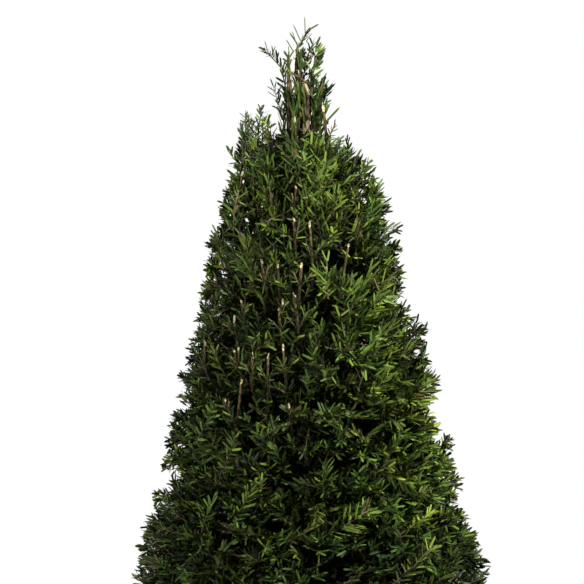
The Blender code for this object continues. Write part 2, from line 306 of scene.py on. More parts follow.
# Shoots: foot side and height, tip side and height, depth, needle length, tone and the side of the needles
SHOOTS = (
    # the spike
    (0.004, 1.236, 0.017, 1.340, 0.010, 0.021, "leafy", RIGHT),
    (0.006, 1.290, 0.021, 1.333, 0.004, 0.016, "fresh", RIGHT),
    (-0.014, 1.330, 0.005, 1.362, 0.004, 0.010, "leafy", CLOSE),
    (-0.003, 1.312, 0.012, 1.342, 0.006, 0.015, "mid", ROUND),
    (-0.031, 1.299, -0.060, 1.334, 0.000, 0.018, "mid", RIGHT),
    (-0.052, 1.322, -0.064, 1.334, 0.000, 0.008, "mid", ROUND),
    (-0.029, 1.253, -0.034, 1.302, -0.004, 0.019, "dark", LEFT),
    (-0.034, 1.227, -0.049, 1.276, 0.002, 0.016, "mid", ROUND),
    (0.022, 1.232, 0.036, 1.275, 0.006, 0.016, "dark", ROUND),
    (0.012, 1.240, 0.026, 1.290, 0.012, 0.018, "mid", RIGHT),
    (-0.009, 1.290, -0.006, 1.325, -0.004, 0.018, "mid", CLOSE),
    (-0.002, 1.280, 0.002, 1.318, 0.008, 0.019, "dark", ROUND),
    (-0.024, 1.290, -0.025, 1.328, -0.012, 0.015, "leafy", ROUND),
    (-0.022, 1.236, -0.020, 1.292, -0.012, 0.024, "leafy", CLOSE),
    (-0.009, 1.212, -0.008, 1.268, -0.016, 0.028, "leafy", CLOSE),
    (0.000, 1.205, 0.000, 1.262, -0.014, 0.027, "mid", CLOSE),
    (0.012, 1.200, 0.018, 1.254, -0.014, 0.026, "mid", CLOSE),
    (-0.018, 1.180, -0.016, 1.240, -0.026, 0.028, "dark", CLOSE),
    (-0.032, 1.180, -0.034, 1.236, -0.016, 0.026, "mid", CLOSE),
    (0.018, 1.180, 0.030, 1.238, -0.006, 0.026, "leafy", CLOSE),
    (-0.012, 1.220, -0.022, 1.284, 0.016, 0.020, "mid", ROUND),
    (0.004, 1.220, 0.010, 1.292, 0.020, 0.020, "mid", ROUND),
    (-0.004, 1.270, -0.006, 1.326, 0.018, 0.018, "mid", ROUND),
    # the left shoulder
    (-0.091, 1.170, -0.092, 1.232, -0.030, 0.013, "mid", ROUND),
    (-0.076, 1.172, -0.067, 1.243, -0.036, 0.013, "mid", ROUND),
    (-0.084, 1.174, -0.080, 1.226, -0.040, 0.012, "dark", ROUND),
    (-0.095, 1.160, -0.099, 1.216, -0.020, 0.011, "mid", ROUND),
    (-0.088, 1.176, -0.087, 1.228, -0.012, 0.012, "dark", ROUND),
    (-0.080, 1.176, -0.075, 1.214, -0.020, 0.012, "mid", ROUND),
    (-0.084, 1.160, -0.086, 1.204, -0.050, 0.013, "mid", ROUND),
    (-0.068, 1.176, -0.064, 1.222, -0.030, 0.014, "leafy", ROUND),
    (-0.050, 1.188, -0.061, 1.230, -0.044, 0.017, "lime", ROUND),
    (-0.100, 1.140, -0.093, 1.196, -0.012, 0.015, "dark", LEFT),
    (-0.101, 1.155, -0.119, 1.176, -0.010, 0.015, "fresh", RIGHT),
    # the right shoulder
    (0.018, 1.148, 0.040, 1.188, -0.040, 0.024, "fresh", BOTH),
    (0.018, 1.124, 0.052, 1.176, -0.050, 0.025, "leafy", BOTH),
    (0.026, 1.170, 0.050, 1.192, -0.030, 0.018, "mid", RIGHT),
    (0.072, 1.140, 0.065, 1.192, -0.020, 0.015, "dark", RIGHT),
    (0.074, 1.126, 0.098, 1.158, -0.030, 0.014, "lime", BOTH),
    (0.078, 1.118, 0.102, 1.130, -0.036, 0.013, "lime", BOTH),
    (0.022, 1.104, 0.068, 1.129, FRONT, 0.021, "fresh", LEFT),
    (0.090, 1.058, 0.122, 1.096, -0.020, 0.018, "leafy", RIGHT),
    (0.088, 1.058, 0.142, 1.056, -0.024, 0.018, "mid", BOTH),
    # down the middle
    (-0.070, 1.062, -0.034, 1.050, FRONT, 0.017, "leafy", RIGHT),
    (0.043, 1.034, 0.043, 1.050, FRONT, 0.016, "lime", ROUND),
    (-0.014, 0.946, -0.038, 0.972, FRONT, 0.012, "fresh", ROUND),
    (0.090, 0.828, 0.122, 0.904, FRONT, 0.018, "leafy", ROUND),
    (0.080, 0.784, 0.128, 0.826, FRONT, 0.021, "fresh", BOTH),
    (0.155, 0.810, 0.166, 0.876, -0.030, 0.018, "leafy", RIGHT),
    (0.155, 0.872, 0.186, 0.897, -0.010, 0.019, "mid", BOTH),
    # low down
    (0.031, 0.632, 0.029, 0.692, FRONT, 0.024, "leafy", BOTH),
    (0.015, 0.650, 0.017, 0.606, FRONT, 0.022, "mid", BOTH),
    (0.010, 0.568, 0.100, 0.620, FRONT, 0.027, "leafy", BOTH),
    (0.140, 0.508, 0.194, 0.560, FRONT, 0.025, "fresh", BOTH),
    (0.126, 0.702, 0.148, 0.730, FRONT, 0.017, "lime", BOTH),
    (0.102, 0.634, 0.120, 0.658, FRONT, 0.017, "lime", BOTH),
    (0.120, 0.682, 0.164, 0.658, FRONT, 0.019, "fresh", BOTH),
    (0.155, 0.588, 0.198, 0.620, FRONT, 0.019, "lime", BOTH),
    (-0.024, 0.572, 0.010, 0.597, FRONT, 0.020, "fresh", BOTH),
    (-0.067, 0.636, -0.067, 0.666, FRONT, 0.016, "leafy", ROUND),
    (-0.186, 0.618, -0.204, 0.660, -0.030, 0.021, "leafy", RIGHT),
    (-0.240, 0.540, -0.196, 0.572, -0.040, 0.022, "mid", BOTH),
    (-0.168, 0.726, -0.142, 0.782, FRONT, 0.018, "leafy", BOTH),
    (-0.128, 0.680, -0.108, 0.733, FRONT, 0.018, "leafy", BOTH),
    (-0.112, 0.602, -0.083, 0.652, FRONT, 0.020, "leafy", BOTH),
    (-0.160, 0.588, -0.142, 0.634, FRONT, 0.020, "mid", BOTH),
)

# Small combs that stand out along the crown's two edges: foot side and height, tip side and height
EDGE_NEEDLE = (0.0125, 0.0165)
EDGE_DRAWN_IN = 0.22
EDGE_SHOOTS = (
    (0.206, 0.710, 0.229, 0.727),
    (0.203, 0.695, 0.226, 0.704),
    (0.206, 0.676, 0.229, 0.681),
    (0.212, 0.661, 0.243, 0.656),
    (0.209, 0.636, 0.232, 0.642),
    (0.219, 0.599, 0.250, 0.611),
    (0.234, 0.580, 0.265, 0.580),
    (0.240, 0.549, 0.267, 0.565),
    (0.253, 0.555, 0.283, 0.532),
    (0.126, 1.023, 0.147, 1.030),
    (0.121, 1.005, 0.143, 1.008),
    (0.122, 0.983, 0.151, 0.994),
    (0.122, 0.961, 0.152, 0.966),
    (0.135, 0.906, 0.166, 0.929),
    (0.155, 0.890, 0.191, 0.900),
    (-0.107, 1.107, -0.124, 1.116),
    (-0.101, 1.079, -0.129, 1.092),
    (-0.113, 1.045, -0.135, 1.053),
    (-0.122, 1.020, -0.150, 1.030),
    (-0.132, 0.992, -0.152, 0.996),
    (-0.141, 0.958, -0.161, 0.958),
    (-0.144, 0.918, -0.167, 0.921),
    (-0.150, 0.876, -0.172, 0.887),
    (-0.157, 0.853, -0.181, 0.858),
    (-0.169, 0.816, -0.195, 0.825),
    (-0.178, 0.760, -0.206, 0.766),
    (-0.188, 0.732, -0.215, 0.723),
    (-0.191, 0.706, -0.225, 0.690),
    (-0.206, 0.641, -0.237, 0.644),
    (-0.222, 0.594, -0.251, 0.594),
    (-0.228, 0.566, -0.259, 0.562),
)

# Bare stems in the spike: foot side and height, top side and height, depth, foot and top radius
SPIKE_STEMS = (
    (-0.0240, 1.170, -0.0265, 1.322, -0.008, 0.0036, 0.0028),
    (-0.0140, 1.180, -0.0150, 1.300, -0.004, 0.0020, 0.0017),
    (-0.0150, 1.296, -0.0120, 1.335, 0.000, 0.0028, 0.0022),
    (-0.0085, 1.190, -0.0090, 1.296, 0.004, 0.0019, 0.0015),
    (-0.0230, 1.300, 0.0020, 1.284, -0.006, 0.0016, 0.0020),
    (-0.0130, 1.330, 0.0050, 1.364, 0.002, 0.0013, 0.0017),
    (-0.0050, 1.306, 0.0110, 1.324, 0.004, 0.0015, 0.0011),
)

# Long needles that stand clear: foot side and height, tip side and height, depth, bow to the right, width
LONE_NEEDLES = (
    (0.0005, 1.356, 0.0000, 1.386, 0.004, 0.05, 0.5),
    (0.0060, 1.364, 0.0215, 1.374, 0.004, -0.10, 0.9),
    (-0.0065, 1.345, -0.0160, 1.374, 0.002, 0.22, 0.6),
    (-0.0110, 1.341, -0.0240, 1.361, 0.002, 0.04, 0.8),
    (-0.0120, 1.338, -0.0185, 1.364, 0.006, 0.20, 0.5),
    (-0.0180, 1.330, -0.0280, 1.351, 0.002, 0.20, 0.6),
    (0.0015, 1.345, 0.0110, 1.360, 0.006, 0.00, 0.4),
    (0.0320, 1.221, 0.0545, 1.245, -0.010, 0.00, 1.1),
    (0.0610, 1.190, 0.0420, 1.198, -0.030, 0.00, 0.5),
    (0.0790, 1.152, 0.1120, 1.154, -0.020, 0.03, 0.5),
)

# Places where the sky shows through: side, height and half width
GAPS = (
    (0.087, 1.113, 0.0026),
    (0.079, 1.102, 0.0020),
    (0.091, 1.099, 0.0028),
    (0.071, 1.075, 0.0016),
    (0.051, 1.084, 0.0015),
    (0.057, 1.067, 0.0014),
    (0.037, 0.996, 0.0024),
    (0.084, 0.884, 0.0030),
    (0.091, 0.876, 0.0024),
    (0.060, 0.851, 0.0016),
    (0.088, 0.780, 0.0024),
    (-0.016, 1.303, 0.0020),
    (-0.020, 1.278, 0.0024),
    (-0.090, 1.068, 0.0019),
    (-0.180, 0.783, 0.0020),
    (-0.187, 0.777, 0.0024),
    (-0.191, 0.781, 0.0022),
)
GAP_HEIGHT_SHARE = 1.3
GAP_SCALE = 1.2


def lerp(pair, share):
    """The value at a share of the way from the first of a pair to the second."""
    return pair[0] + (pair[1] - pair[0]) * share


def unit(vectors):
    """Vectors of length one, for one vector or rows of them."""
    length = np.linalg.norm(vectors, axis=-1, keepdims=True)
    return vectors / np.maximum(length, 1e-12)


def square_to(vectors, axes):
    """The part of the vectors that is square to the unit axes."""
    return vectors - axes * (vectors * axes).sum(-1, keepdims=True)


def turned(vector, axis, angle):
    """A vector turned about a unit axis."""
    return (
        vector * math.cos(angle)
        + np.cross(axis, vector) * math.sin(angle)
        + axis * np.dot(axis, vector) * (1 - math.cos(angle))
    )


def turns_round(count):
    """Angles at even steps round a circle."""
    return np.arange(count) * 2 * math.pi / count


def circle(across, other, turns):
    """Points of a unit circle in the plane of two directions."""
    return across[..., None, :] * np.cos(turns)[:, None] + other[..., None, :] * np.sin(turns)[:, None]


def curve_at(foot, bend, tip, share):
    """Places on a curve that leaves its foot towards the bend and reaches its tip from there."""
    return foot * (1 - share) ** 2 + 2 * bend * share * (1 - share) + tip * share**2


def level(turn, rise=0.0):
    """Directions with the turns about Z, level or with a rise of their own."""
    turn = np.asarray(turn, float)
    return np.stack([np.cos(turn), np.sin(turn), np.broadcast_to(rise, turn.shape)], -1)


def lookup_of(places):
    """A tree that finds the nearest of the places."""
    lookup = KDTree(len(places))
    for index, place in enumerate(places):
        lookup.insert(place, index)
    lookup.balance()
    return lookup


def draws(number):
    """A stream of random numbers for a step of its own, so that one step doesn't change the rest."""
    return np.random.default_rng((SEED, number))


# ---------------------------------------------------------------- the frame's shapes


def node_arrays(name):
    """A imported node's vertices and triangles."""
    mesh = frame["nodes"][name].data
    mesh.calc_loop_triangles()
    places = np.empty(len(mesh.vertices) * 3, np.float32)
    mesh.vertices.foreach_get("co", places)
    corners = np.empty(len(mesh.loop_triangles) * 3, np.int32)
    mesh.loop_triangles.foreach_get("vertices", corners)
    return places.reshape(-1, 3).astype(float), corners.reshape(-1, 3)


def names_of(prefix):
    """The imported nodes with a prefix, in order."""
    return sorted(name for name in frame["nodes"] if name.startswith(prefix))


def centre_line(name):
    """A centre line and radius fitted through a limb's vertices: functions of a share from foot to tip."""
    places, _ = node_arrays(name)
    middle = places.mean(0)
    axis = np.linalg.svd(places - middle)[2][0]
    along = (places - middle) @ (-axis if axis[2] < 0 else axis)
    share = (along - along.min()) / (along.max() - along.min())
    fits = [np.polyfit(share, places[:, k], 2) for k in range(3)]

    def centre(at):
        return np.stack([np.polyval(fit, at) for fit in fits], -1)

    width = np.polyfit(share, np.linalg.norm(places - centre(share), axis=1), 1)
    return centre, lambda at: np.polyval(width, at)


def trunk_rings():
    """The trunk's middle and radius at each height where it has a ring."""
    places, _ = node_arrays("trunk")
    order = places[np.argsort(places[:, 2])]
    cuts = np.flatnonzero(np.diff(order[:, 2]) > 0.004) + 1
    rings = [ring for ring in np.split(order, cuts) if len(ring) > 5]
    middles = np.array([(ring.min(0) + ring.max(0)) / 2 for ring in rings])
    widths = [np.linalg.norm((ring - mid)[:, :2], axis=1).mean() for ring, mid in zip(rings, middles)]
    return middles, np.array(widths)


TRUNK_MIDDLES, TRUNK_WIDTHS = trunk_rings()


def trunk_centre(height):
    """The middle of the trunk at a height, or at each of many."""
    sides = [np.interp(height, TRUNK_MIDDLES[:, 2], TRUNK_MIDDLES[:, k]) for k in range(2)]
    return np.stack([*sides, np.asarray(height, float)], -1)


def trunk_radius(height):
    """The trunk's radius at a height."""
    return np.interp(height, TRUNK_MIDDLES[:, 2], TRUNK_WIDTHS)


def outward(place):
    """The level direction from the trunk to a place."""
    away = place - trunk_centre(place[2])
    away[2] = 0.0
    return unit(away)


def room_at(place, out):
    """How far a place lies from the trunk's middle along a level direction."""
    return np.dot(place - trunk_centre(place[2]), out)


def crown_shape():
    """All the masses as one mesh to cast rays at."""
    places, faces, first = [], [], 0
    for name in names_of("mass_"):
        own, corners = node_arrays(name)
        places.append(own)
        faces.append(corners + first)
        first += len(own)
    return np.concatenate(places), np.concatenate(faces)


CROWN_PLACES, CROWN_FACES = crown_shape()
CROWN_TREE = BVHTree.FromPolygons(CROWN_PLACES.tolist(), CROWN_FACES.tolist())


def crown_hit(start, way, reach=6.0):
    """Where a ray meets the crown's masses, or None."""
    hit = CROWN_TREE.ray_cast(Vector(start), Vector(way), reach)[0]
    return None if hit is None else np.array(hit)


# An outer face doesn't face the trunk, and has this much open air ahead of it and above it
FACES_AWAY = -0.25
OFF_FACE = 0.002
CLEAR_AHEAD = 0.05
CLEAR_ABOVE = 0.08


def outer_faces():
    """The crown's faces that have open air in front of them, and not another mass."""
    kept = []
    for index, corners in enumerate(CROWN_PLACES[CROWN_FACES]):
        centre = corners.mean(0)
        normal = unit(np.cross(corners[1] - corners[0], corners[2] - corners[0]))
        out = outward(centre)
        if np.dot(normal, out) < FACES_AWAY:
            continue
        start = centre + normal * OFF_FACE
        way_up = unit(out + UP * 0.3)
        if crown_hit(start, normal, CLEAR_AHEAD) is None and crown_hit(start, way_up, CLEAR_ABOVE) is None:
            kept.append(index)
    return CROWN_FACES[kept]


OUTER_FACES = outer_faces()
OUTER_TREE = BVHTree.FromPolygons(CROWN_PLACES.tolist(), OUTER_FACES.tolist())


def depth_of(place):
    """How far a place lies behind the crown's surface. It is below zero outside."""
    nearest, normal, _, gap = OUTER_TREE.find_nearest(Vector(place))
    return math.copysign(gap, (nearest - Vector(place)).dot(normal))


def on_sight(side, height, depth):
    """The place at a depth, along Y, that is seen at a side and height on the trunk's plane."""
    target = np.array((side, 0.0, height))
    return CAMERA + (target - CAMERA) * (depth - CAMERA[1]) / -CAMERA[1]


def front_depth(side, height):
    """The depth at which the line of sight to a side and height meets the crown's front."""
    hit = crown_hit(CAMERA, unit(np.array((side, 0.0, height)) - CAMERA))
    return 0.0 if hit is None else hit[1]


def in_picture(places):
    """The side and height on the trunk's plane that the places are seen at."""
    depth = (places[..., 1] - CAMERA[1]) / -CAMERA[1]
    side = CAMERA[0] + (places[..., 0] - CAMERA[0]) / depth
    height = CAMERA[2] + (places[..., 2] - CAMERA[2]) / depth
    return side, height


# ---------------------------------------------------------------- how the yew grows


def vigour(place):
    """From 0 to 1: weak where it was clipped hard, at the upper left, and strong on the right and low."""
    right = 0.5 + 0.5 * outward(place)[0]
    low = np.clip((WAIST - place[2]) / (WAIST - SKIRT_TOP), 0, 1)
    high = np.clip((place[2] - SHOULDER) / 0.1, 0, 1)
    patch = noise.noise(Vector(place) * VIGOUR_RATE)
    strength = VIGOUR["least"] + VIGOUR["right"] * right + VIGOUR["low"] * low * (1 - right)
    strength += VIGOUR["high"] * high * (1 - right) + VIGOUR["patch"] * patch
    return float(np.clip(strength, 0, 1))


def habit(place):
    """How steeply shoots rise, in degrees, and how flat their two ranks of needles are, by zone."""
    left = 0.5 - 0.5 * outward(place)[0]
    high = np.clip((place[2] - STEEPER_FROM) / STEEPER_OVER, 0, 1)
    rise = lerp((lerp(LOW_RISE, left), lerp(HIGH_RISE, left)), high)
    patch = noise.noise(Vector(place) * FLATNESS_RATE + Vector((3.0, 0.0, 0.0)))
    flat = FLATNESS["least"] + FLATNESS["right"] * (1 - left) + FLATNESS["low"] * (1 - high)
    return rise, flat + FLATNESS["patch"] * patch


def long_needled(height):
    """From 0, low down where needles are short and broad, to 1, high up where they are long and slim."""
    return float(np.clip((height - SHORT_NEEDLES_BELOW) / (LONG_NEEDLES_ABOVE - SHORT_NEEDLES_BELOW), 0, 1))


def needle_length(place, strength):
    """The usual length of the needles of a shoot."""
    lengths = [lerp(pair, strength) for pair in (LOW_NEEDLE_LENGTH, HIGH_NEEDLE_LENGTH)]
    return lerp(lengths, long_needled(place[2]))


def thinned(places, spacings):
    """The numbers of the places that are kept so that none is too near another."""
    lookup = lookup_of(places)
    free = np.ones(len(places), bool)
    kept = []
    for index, (place, spacing) in enumerate(zip(places, spacings)):
        if not free[index]:
            continue
        for _, other, _ in lookup.find_range(place, spacing):
            free[other] = False
        kept.append(index)
    return kept


def surface_tips(rng):
    """Places for the sprays' tips over the crown's outer faces, closer together where growth is tight."""
    a, b, c = (CROWN_PLACES[OUTER_FACES[:, k]] for k in range(3))
    cross = np.cross(b - a, c - a)
    area = np.linalg.norm(cross, axis=1)
    drawn = rng.choice(len(area), TIP_TRIES, p=area / area.sum())
    split = np.sort(rng.random((TIP_TRIES, 2)), axis=1)
    shares = np.stack([split[:, 0], split[:, 1] - split[:, 0], 1 - split[:, 1]], 1)
    places = a[drawn] * shares[:, :1] + b[drawn] * shares[:, 1:2] + c[drawn] * shares[:, 2:]
    normals = unit(cross[drawn])
    strengths = [vigour(place) for place in places]
    kept = thinned(places, lerp(SPRAY_SPACING, np.array(strengths)))
    return [(places[k], normals[k], strengths[k]) for k in kept]


def closed_over(radii, reach):
    """Radii by height and turn with the notches filled that are narrower than twice the reach, in rows."""
    widest = np.max([np.roll(radii, step, 0) for step in range(-reach, reach + 1)], axis=0)
    return np.min([np.roll(widest, step, 0) for step in range(-reach, reach + 1)], axis=0)


def bridging_tips(rng):
    """Places out in the notches between the crown's masses, which are grown over."""
    heights = np.arange(*NOTCH_ZONE, NOTCH_STEP)
    outs = level(np.radians(np.arange(0, 360, NOTCH_TURN)))
    radii = np.zeros((len(heights), len(outs)))
    for row, height in enumerate(heights):
        centre = trunk_centre(height)
        for column, out in enumerate(outs):
            hit = crown_hit(centre + out * 0.5, -out, 0.5)
            if hit is not None:
                radii[row, column] = np.linalg.norm(hit - centre)
    closed = closed_over(radii, NOTCH_REACH)
    tips = []
    for row, column in zip(*np.nonzero(closed - radii > NOTCH_DEPTH)):
        height = heights[row] + rng.uniform(-0.5, 0.5) * NOTCH_STEP
        out = outs[column]
        place = trunk_centre(height) + out * (closed[row, column] - rng.uniform(*NOTCH_SUNK))
        if crown_hit(CAMERA, unit(place + out * 0.012 - CAMERA)) is not None:
            tips.append((place, out, vigour(place)))
    return tips


def shoot(tip, heading, start_heading, length, **facts):
    """A shoot's axis: a curve that starts along one heading and ends along another."""
    bend = tip - heading * length * 0.5
    base = bend - start_heading * length * 0.5
    usual = {"ranks": BOTH, "depth": 0.0, "spacing": 1.0, "sides": []}
    axis = {"tip": tip, "bend": bend, "base": base, "heading": heading, "start": start_heading}
    return SimpleNamespace(length=length, **axis, **{**usual, **facts})


def axis_at(item, share):
    """The place on a shoot's axis and the heading there, at a share of the way or a column of them."""
    heading = unit((item.bend - item.base) * (1 - share) + (item.tip - item.bend) * share)
    return curve_at(item.base, item.bend, item.tip, share), heading


def axis_points(item, count):
    """Places at even steps along a shoot's axis."""
    return axis_at(item, np.linspace(0, 1, count)[:, None])[0]


def painted(main, tone, row, hue):
    """Gives a shoot and its side shoots their tone, and their row and column on the needles' map."""
    for item in (main, *main.sides):
        item.tone = tone
        item.row = row
        item.hue = hue


def main_shoot(place, normal, strength, rng):
    """The middle shoot of a spray, rising more steeply where growth is weak."""
    out = outward(place)
    droop = np.clip(-normal[2], 0, 1)
    usual, flat = habit(place)
    rise = math.radians(usual * (1 - 0.9 * droop) - UNDERSIDE_DROOP * droop + rng.normal(0, RISE_SPREAD))
    heading = turned(out, UP, rng.normal(0, TURN_SPREAD)) * math.cos(rise) + UP * math.sin(rise)
    start = unit(heading * 0.8 + out * 0.35 + rng.normal(0, 0.16, 3) - UP * 0.1)
    length = lerp(SHOOT_LENGTH, strength) * rng.uniform(0.7, 1.25)
    needle = needle_length(place, strength) * rng.uniform(0.88, 1.12)
    hollow = HOLLOW_DEPTH * lerp(HOLLOW_SHARE, strength) * (LOW_HOLLOWS if place[2] < WAIST else 1.0)
    hollow *= np.clip(1.9 * noise.noise(Vector(place * HOLLOW_RATES)), 0, 1)
    tip = place - heading * needle * rng.uniform(0.1, 0.7) - out * (hollow + rng.uniform(0, 0.006))
    reach_in = np.dot(heading + start, out) / 2
    if reach_in > 0:
        length = min(length, max((room_at(tip, out) - KEPT_FROM_MIDDLE) / reach_in, SHORTEST_SHOOT))
    flat = float(np.clip(flat + rng.normal(0, 0.15), 0, 0.95))
    return shoot(tip, heading, start, length, out=out, strength=strength, needle=needle, flat=flat)


def side_shoots(main, rng):
    """A spray's side shoots: left and right by turns, bent forwards and kept inside the crown."""
    shoots = []
    count = int(rng.poisson(lerp(SIDE_SHOOTS, main.strength) * np.clip(main.length / 0.06, 0.4, 1.6)))
    side = rng.choice((-1.0, 1.0))
    for index in range(count):
        share = 0.12 + 0.68 * (index + rng.uniform(0.2, 0.8)) / count
        base, tangent = axis_at(main, share)
        angle = math.radians(lerp(SIDE_ANGLE, main.strength) + rng.normal(0, 7))
        across = unit(square_to(main.across, tangent))
        face = np.cross(across, tangent)
        leave = tangent * math.cos(angle) + across * side * math.sin(angle) + face * rng.normal(0.08, 0.16)
        leave = unit(leave)
        arrive = unit(leave + tangent * 0.35 + rng.normal(0, 0.08, 3))
        length = main.length * (0.28 + 0.5 * (1 - share)) * rng.uniform(0.7, 1.2)
        side = -side
        while length > SHORTEST_SHOOT:
            tip = base + (leave + arrive) * length / 2
            if depth_of(tip + arrive * main.needle * 0.35) > -0.002:
                break
            length *= 0.72
        if length > SHORTEST_SHOOT:
            item = side_of(main, tip, arrive, leave, length, rng.uniform(0.85, 1.0))
            item.across = unit(square_to(main.across, arrive) + rng.normal(0, 0.15, 3))
            shoots.append(item)
    return shoots


def side_of(main, tip, heading, start_heading, length, scale):
    """A side shoot that takes after its main shoot, its needles smaller by a scale."""
    taken = {key: getattr(main, key) for key in ("out", "strength", "flat", "ranks", "depth", "spacing")}
    return shoot(tip, heading, start_heading, length, needle=main.needle * scale, **taken)


def spray(main, rng):
    """A main shoot with its side shoots, its comb of needles facing up and outwards."""
    face = unit(UP * (1 - abs(main.heading[2])) * 1.2 + main.out * 0.9 + rng.normal(0, 0.45, 3))
    main.across = unit(np.cross(main.heading, face))
    main.sides = side_shoots(main, rng)
    return main


def surface_sprays(placed):
    """Sprays all over the crown, and the shoots left out where a placed shoot or stub already stands."""
    taken = lookup_of([place for item in placed for place in item.line])
    sprays = []
    left_out = []
    for number, (place, normal, strength) in enumerate(surface_tips(draws(5)) + bridging_tips(draws(14))):
        rng = draws(1000 + number)
        main = main_shoot(place, normal, strength, rng)
        if place[2] > SPIKE_BARE:
            continue
        if min(taken.find(main.tip)[2], taken.find(place)[2]) > CLEAR_OF_PLACED:
            sprays.append(spray(main, rng))
        else:
            left_out.append(main)
    return sprays, left_out


def edge_rows(rng):
    """The combs along the crown's edges, with their depth, needles and tone, as rows like those of SHOOTS."""
    rows = []
    for foot_side, foot_height, side, height in EDGE_SHOOTS:
        # Painted light: low combs on the right, where the key light falls, take lighter tones.
        lit = side > 0 and SKIRT_LIGHT - 0.10 < height < WAIST
        tone = (("mid", "leafy", "fresh") if lit else ("dark", "mid", "leafy"))[int(rng.integers(3))]
        side += (foot_side - side) * EDGE_DRAWN_IN
        depth = rng.uniform(-0.03, 0.0)
        needle = rng.uniform(*EDGE_NEEDLE)
        rows.append((foot_side * 0.94, foot_height, side, height, depth, needle, tone, TUFT))
    return rows


def placed_shoots(rng):
    """The shoots that have a place of their own: those that show by themselves, and those along the edges."""
    shoots = []
    for foot_side, foot_height, side, height, depth, needle, tone, ranks in (*SHOOTS, *edge_rows(rng)):
        if depth is FRONT:
            tip = on_sight(side, height, front_depth(side, height) - TIP_PROUD)
            foot = on_sight(foot_side, foot_height, front_depth(foot_side, foot_height) + FOOT_SUNK)
        else:
            tip = on_sight(side, height, depth)
            foot = on_sight(foot_side, foot_height, depth)
        length = np.linalg.norm(tip - foot)
        way = (tip - foot) / length
        bow = unit(way + UP * rng.uniform(0.05, 0.2) + rng.normal(0, 0.04, 3))
        flat = {ROUND: 0.25, CLOSE: 0.25, TUFT: 0.5}.get(ranks, 0.7)
        item = shoot(
            tip, bow, unit(2 * way - bow), length, out=outward(tip), strength=0.65, needle=needle,
            flat=flat, ranks=ranks, spacing=1.0 if ranks == TUFT else 0.8,
        )
        to_camera = unit(unit(CAMERA - tip) + rng.normal(0, 0.45, 3) + UP * 0.3)
        item.across = unit(np.cross(bow, to_camera))
        if ranks == TUFT:
            item.sides = tuft_sides(item, rng)
        in_spike = tip[2] > SPIKE_FOOT
        # Painted light: shoots in the spike at the crown's top take lighter rows.
        row = rng.uniform(7.5, 10.5) + 3.5 * in_spike
        painted(item, tone, row, rng.normal(1.5 if in_spike else 0.8, 0.3))
        item.line = axis_points(item, 5)
        shoots.append(item)
    return shoots


def tuft_sides(main, rng):
    """The short side shoots that make a small tuft of a shoot at the crown's edge."""
    shoots = []
    for share, side in ((0.12, 1.0), (0.28, -1.0), (0.46, 1.0), (0.62, -1.0)):
        base, tangent = axis_at(main, share)
        angle = math.radians(rng.uniform(24, 46))
        leave = unit(tangent * math.cos(angle) + main.across * side * math.sin(angle) + rng.normal(0, 0.2, 3))
        length = main.length * (0.85 - 0.6 * share) * rng.uniform(0.8, 1.1)
        item = side_of(main, base + leave * length, leave, leave, length, rng.uniform(0.85, 1.0))
        item.across = unit(square_to(main.across, leave) + rng.normal(0, 0.2, 3))
        shoots.append(item)
    return shoots


def spike_shoots(rng):
    """Upright shoots close round the trunk's top, apart from where it shows at the front."""
    shoots = []
    while len(shoots) < SPIKE_SHOOTS:
        out = level(rng.uniform(0, 2 * math.pi))
        foot = trunk_centre(rng.uniform(*SPIKE_FEET)) + out * rng.uniform(0.004, 0.026)
        heading = unit(UP + out * rng.uniform(0.05, 0.30) + rng.normal(0, 0.05, 3))
        length = rng.uniform(*SPIKE_SHOOT_LENGTH)
        tip = foot + heading * length
        hides_trunk = tip[1] < 0 and abs(in_picture(tip)[0] - TRUNK_SHOWS_AT) < TRUNK_SHOWS
        if depth_of(tip + heading * 0.01) < 0 or hides_trunk:
            continue
        item = shoot(
            tip, heading, unit(heading + out * 0.2), length, out=out, strength=0.7,
            needle=rng.uniform(*SPIKE_NEEDLE), flat=0.2, ranks=CLOSE if rng.random() < 0.7 else ROUND,
        )
        item.across = unit(np.cross(heading, out))
        # Light rows, as painted light at the crown's top.
        painted(item, rng.choice(("dark", "mid", "leafy")), rng.uniform(10.0, 13.5), rng.normal(1.4, 0.4))
        item.line = axis_points(item, 3)
        shoots.append(item)
    return shoots


def placed_stubs(rng):
    """The clipped stems that have a place of their own, and others like them on the sides and the back."""
    stubs = []
    for side, height, length, radius, lean in STUBS:
        top = on_sight(side, height, front_depth(side, height) + STUB_RECESS)
        axis = unit(UP + np.array((-lean, 0.12, 0.0)) + rng.normal(0, 0.07, 3))
        stubs.append(stub_at(top, axis, unit(CAMERA - top), length * STUB_SHOWN, radius * STUB_WIDTH))
    while len(stubs) < len(STUBS) + MORE_STUBS:
        out = level(rng.uniform(*np.radians(MORE_STUB_TURNS)))
        hit = crown_hit(trunk_centre(rng.uniform(*MORE_STUB_HEIGHTS)) + out * 0.5, -out, 0.6)
        if hit is not None:
            axis = unit(UP + rng.normal(0, 0.10, 3) - out * 0.1)
            length = rng.uniform(*MORE_STUB_LENGTH)
            radius = rng.uniform(*MORE_STUB_RADIUS)
            stubs.append(stub_at(hit - out * STUB_RECESS, axis, out, length, radius))
    return stubs


def stub_at(top, axis, view, length, radius):
    """A clipped stem: straight for the length that shows, then bent inwards to where it grows from."""
    knee = top - axis * length
    foot = knee + unit(-axis - outward(knee) * 0.9) * STUB_HIDDEN
    share = np.linspace(0, 1, 5)[:, None]
    hidden = curve_at(foot, knee - axis * STUB_HIDDEN * 0.5, knee, share)
    shown = knee + axis * length * share[1:]
    return SimpleNamespace(
        top=top, axis=axis, view=view, length=length, radius=radius, line=shown,
        path=np.concatenate([hidden, shown]), clear=min(length * 0.75, STUB_CLEAR),
    )


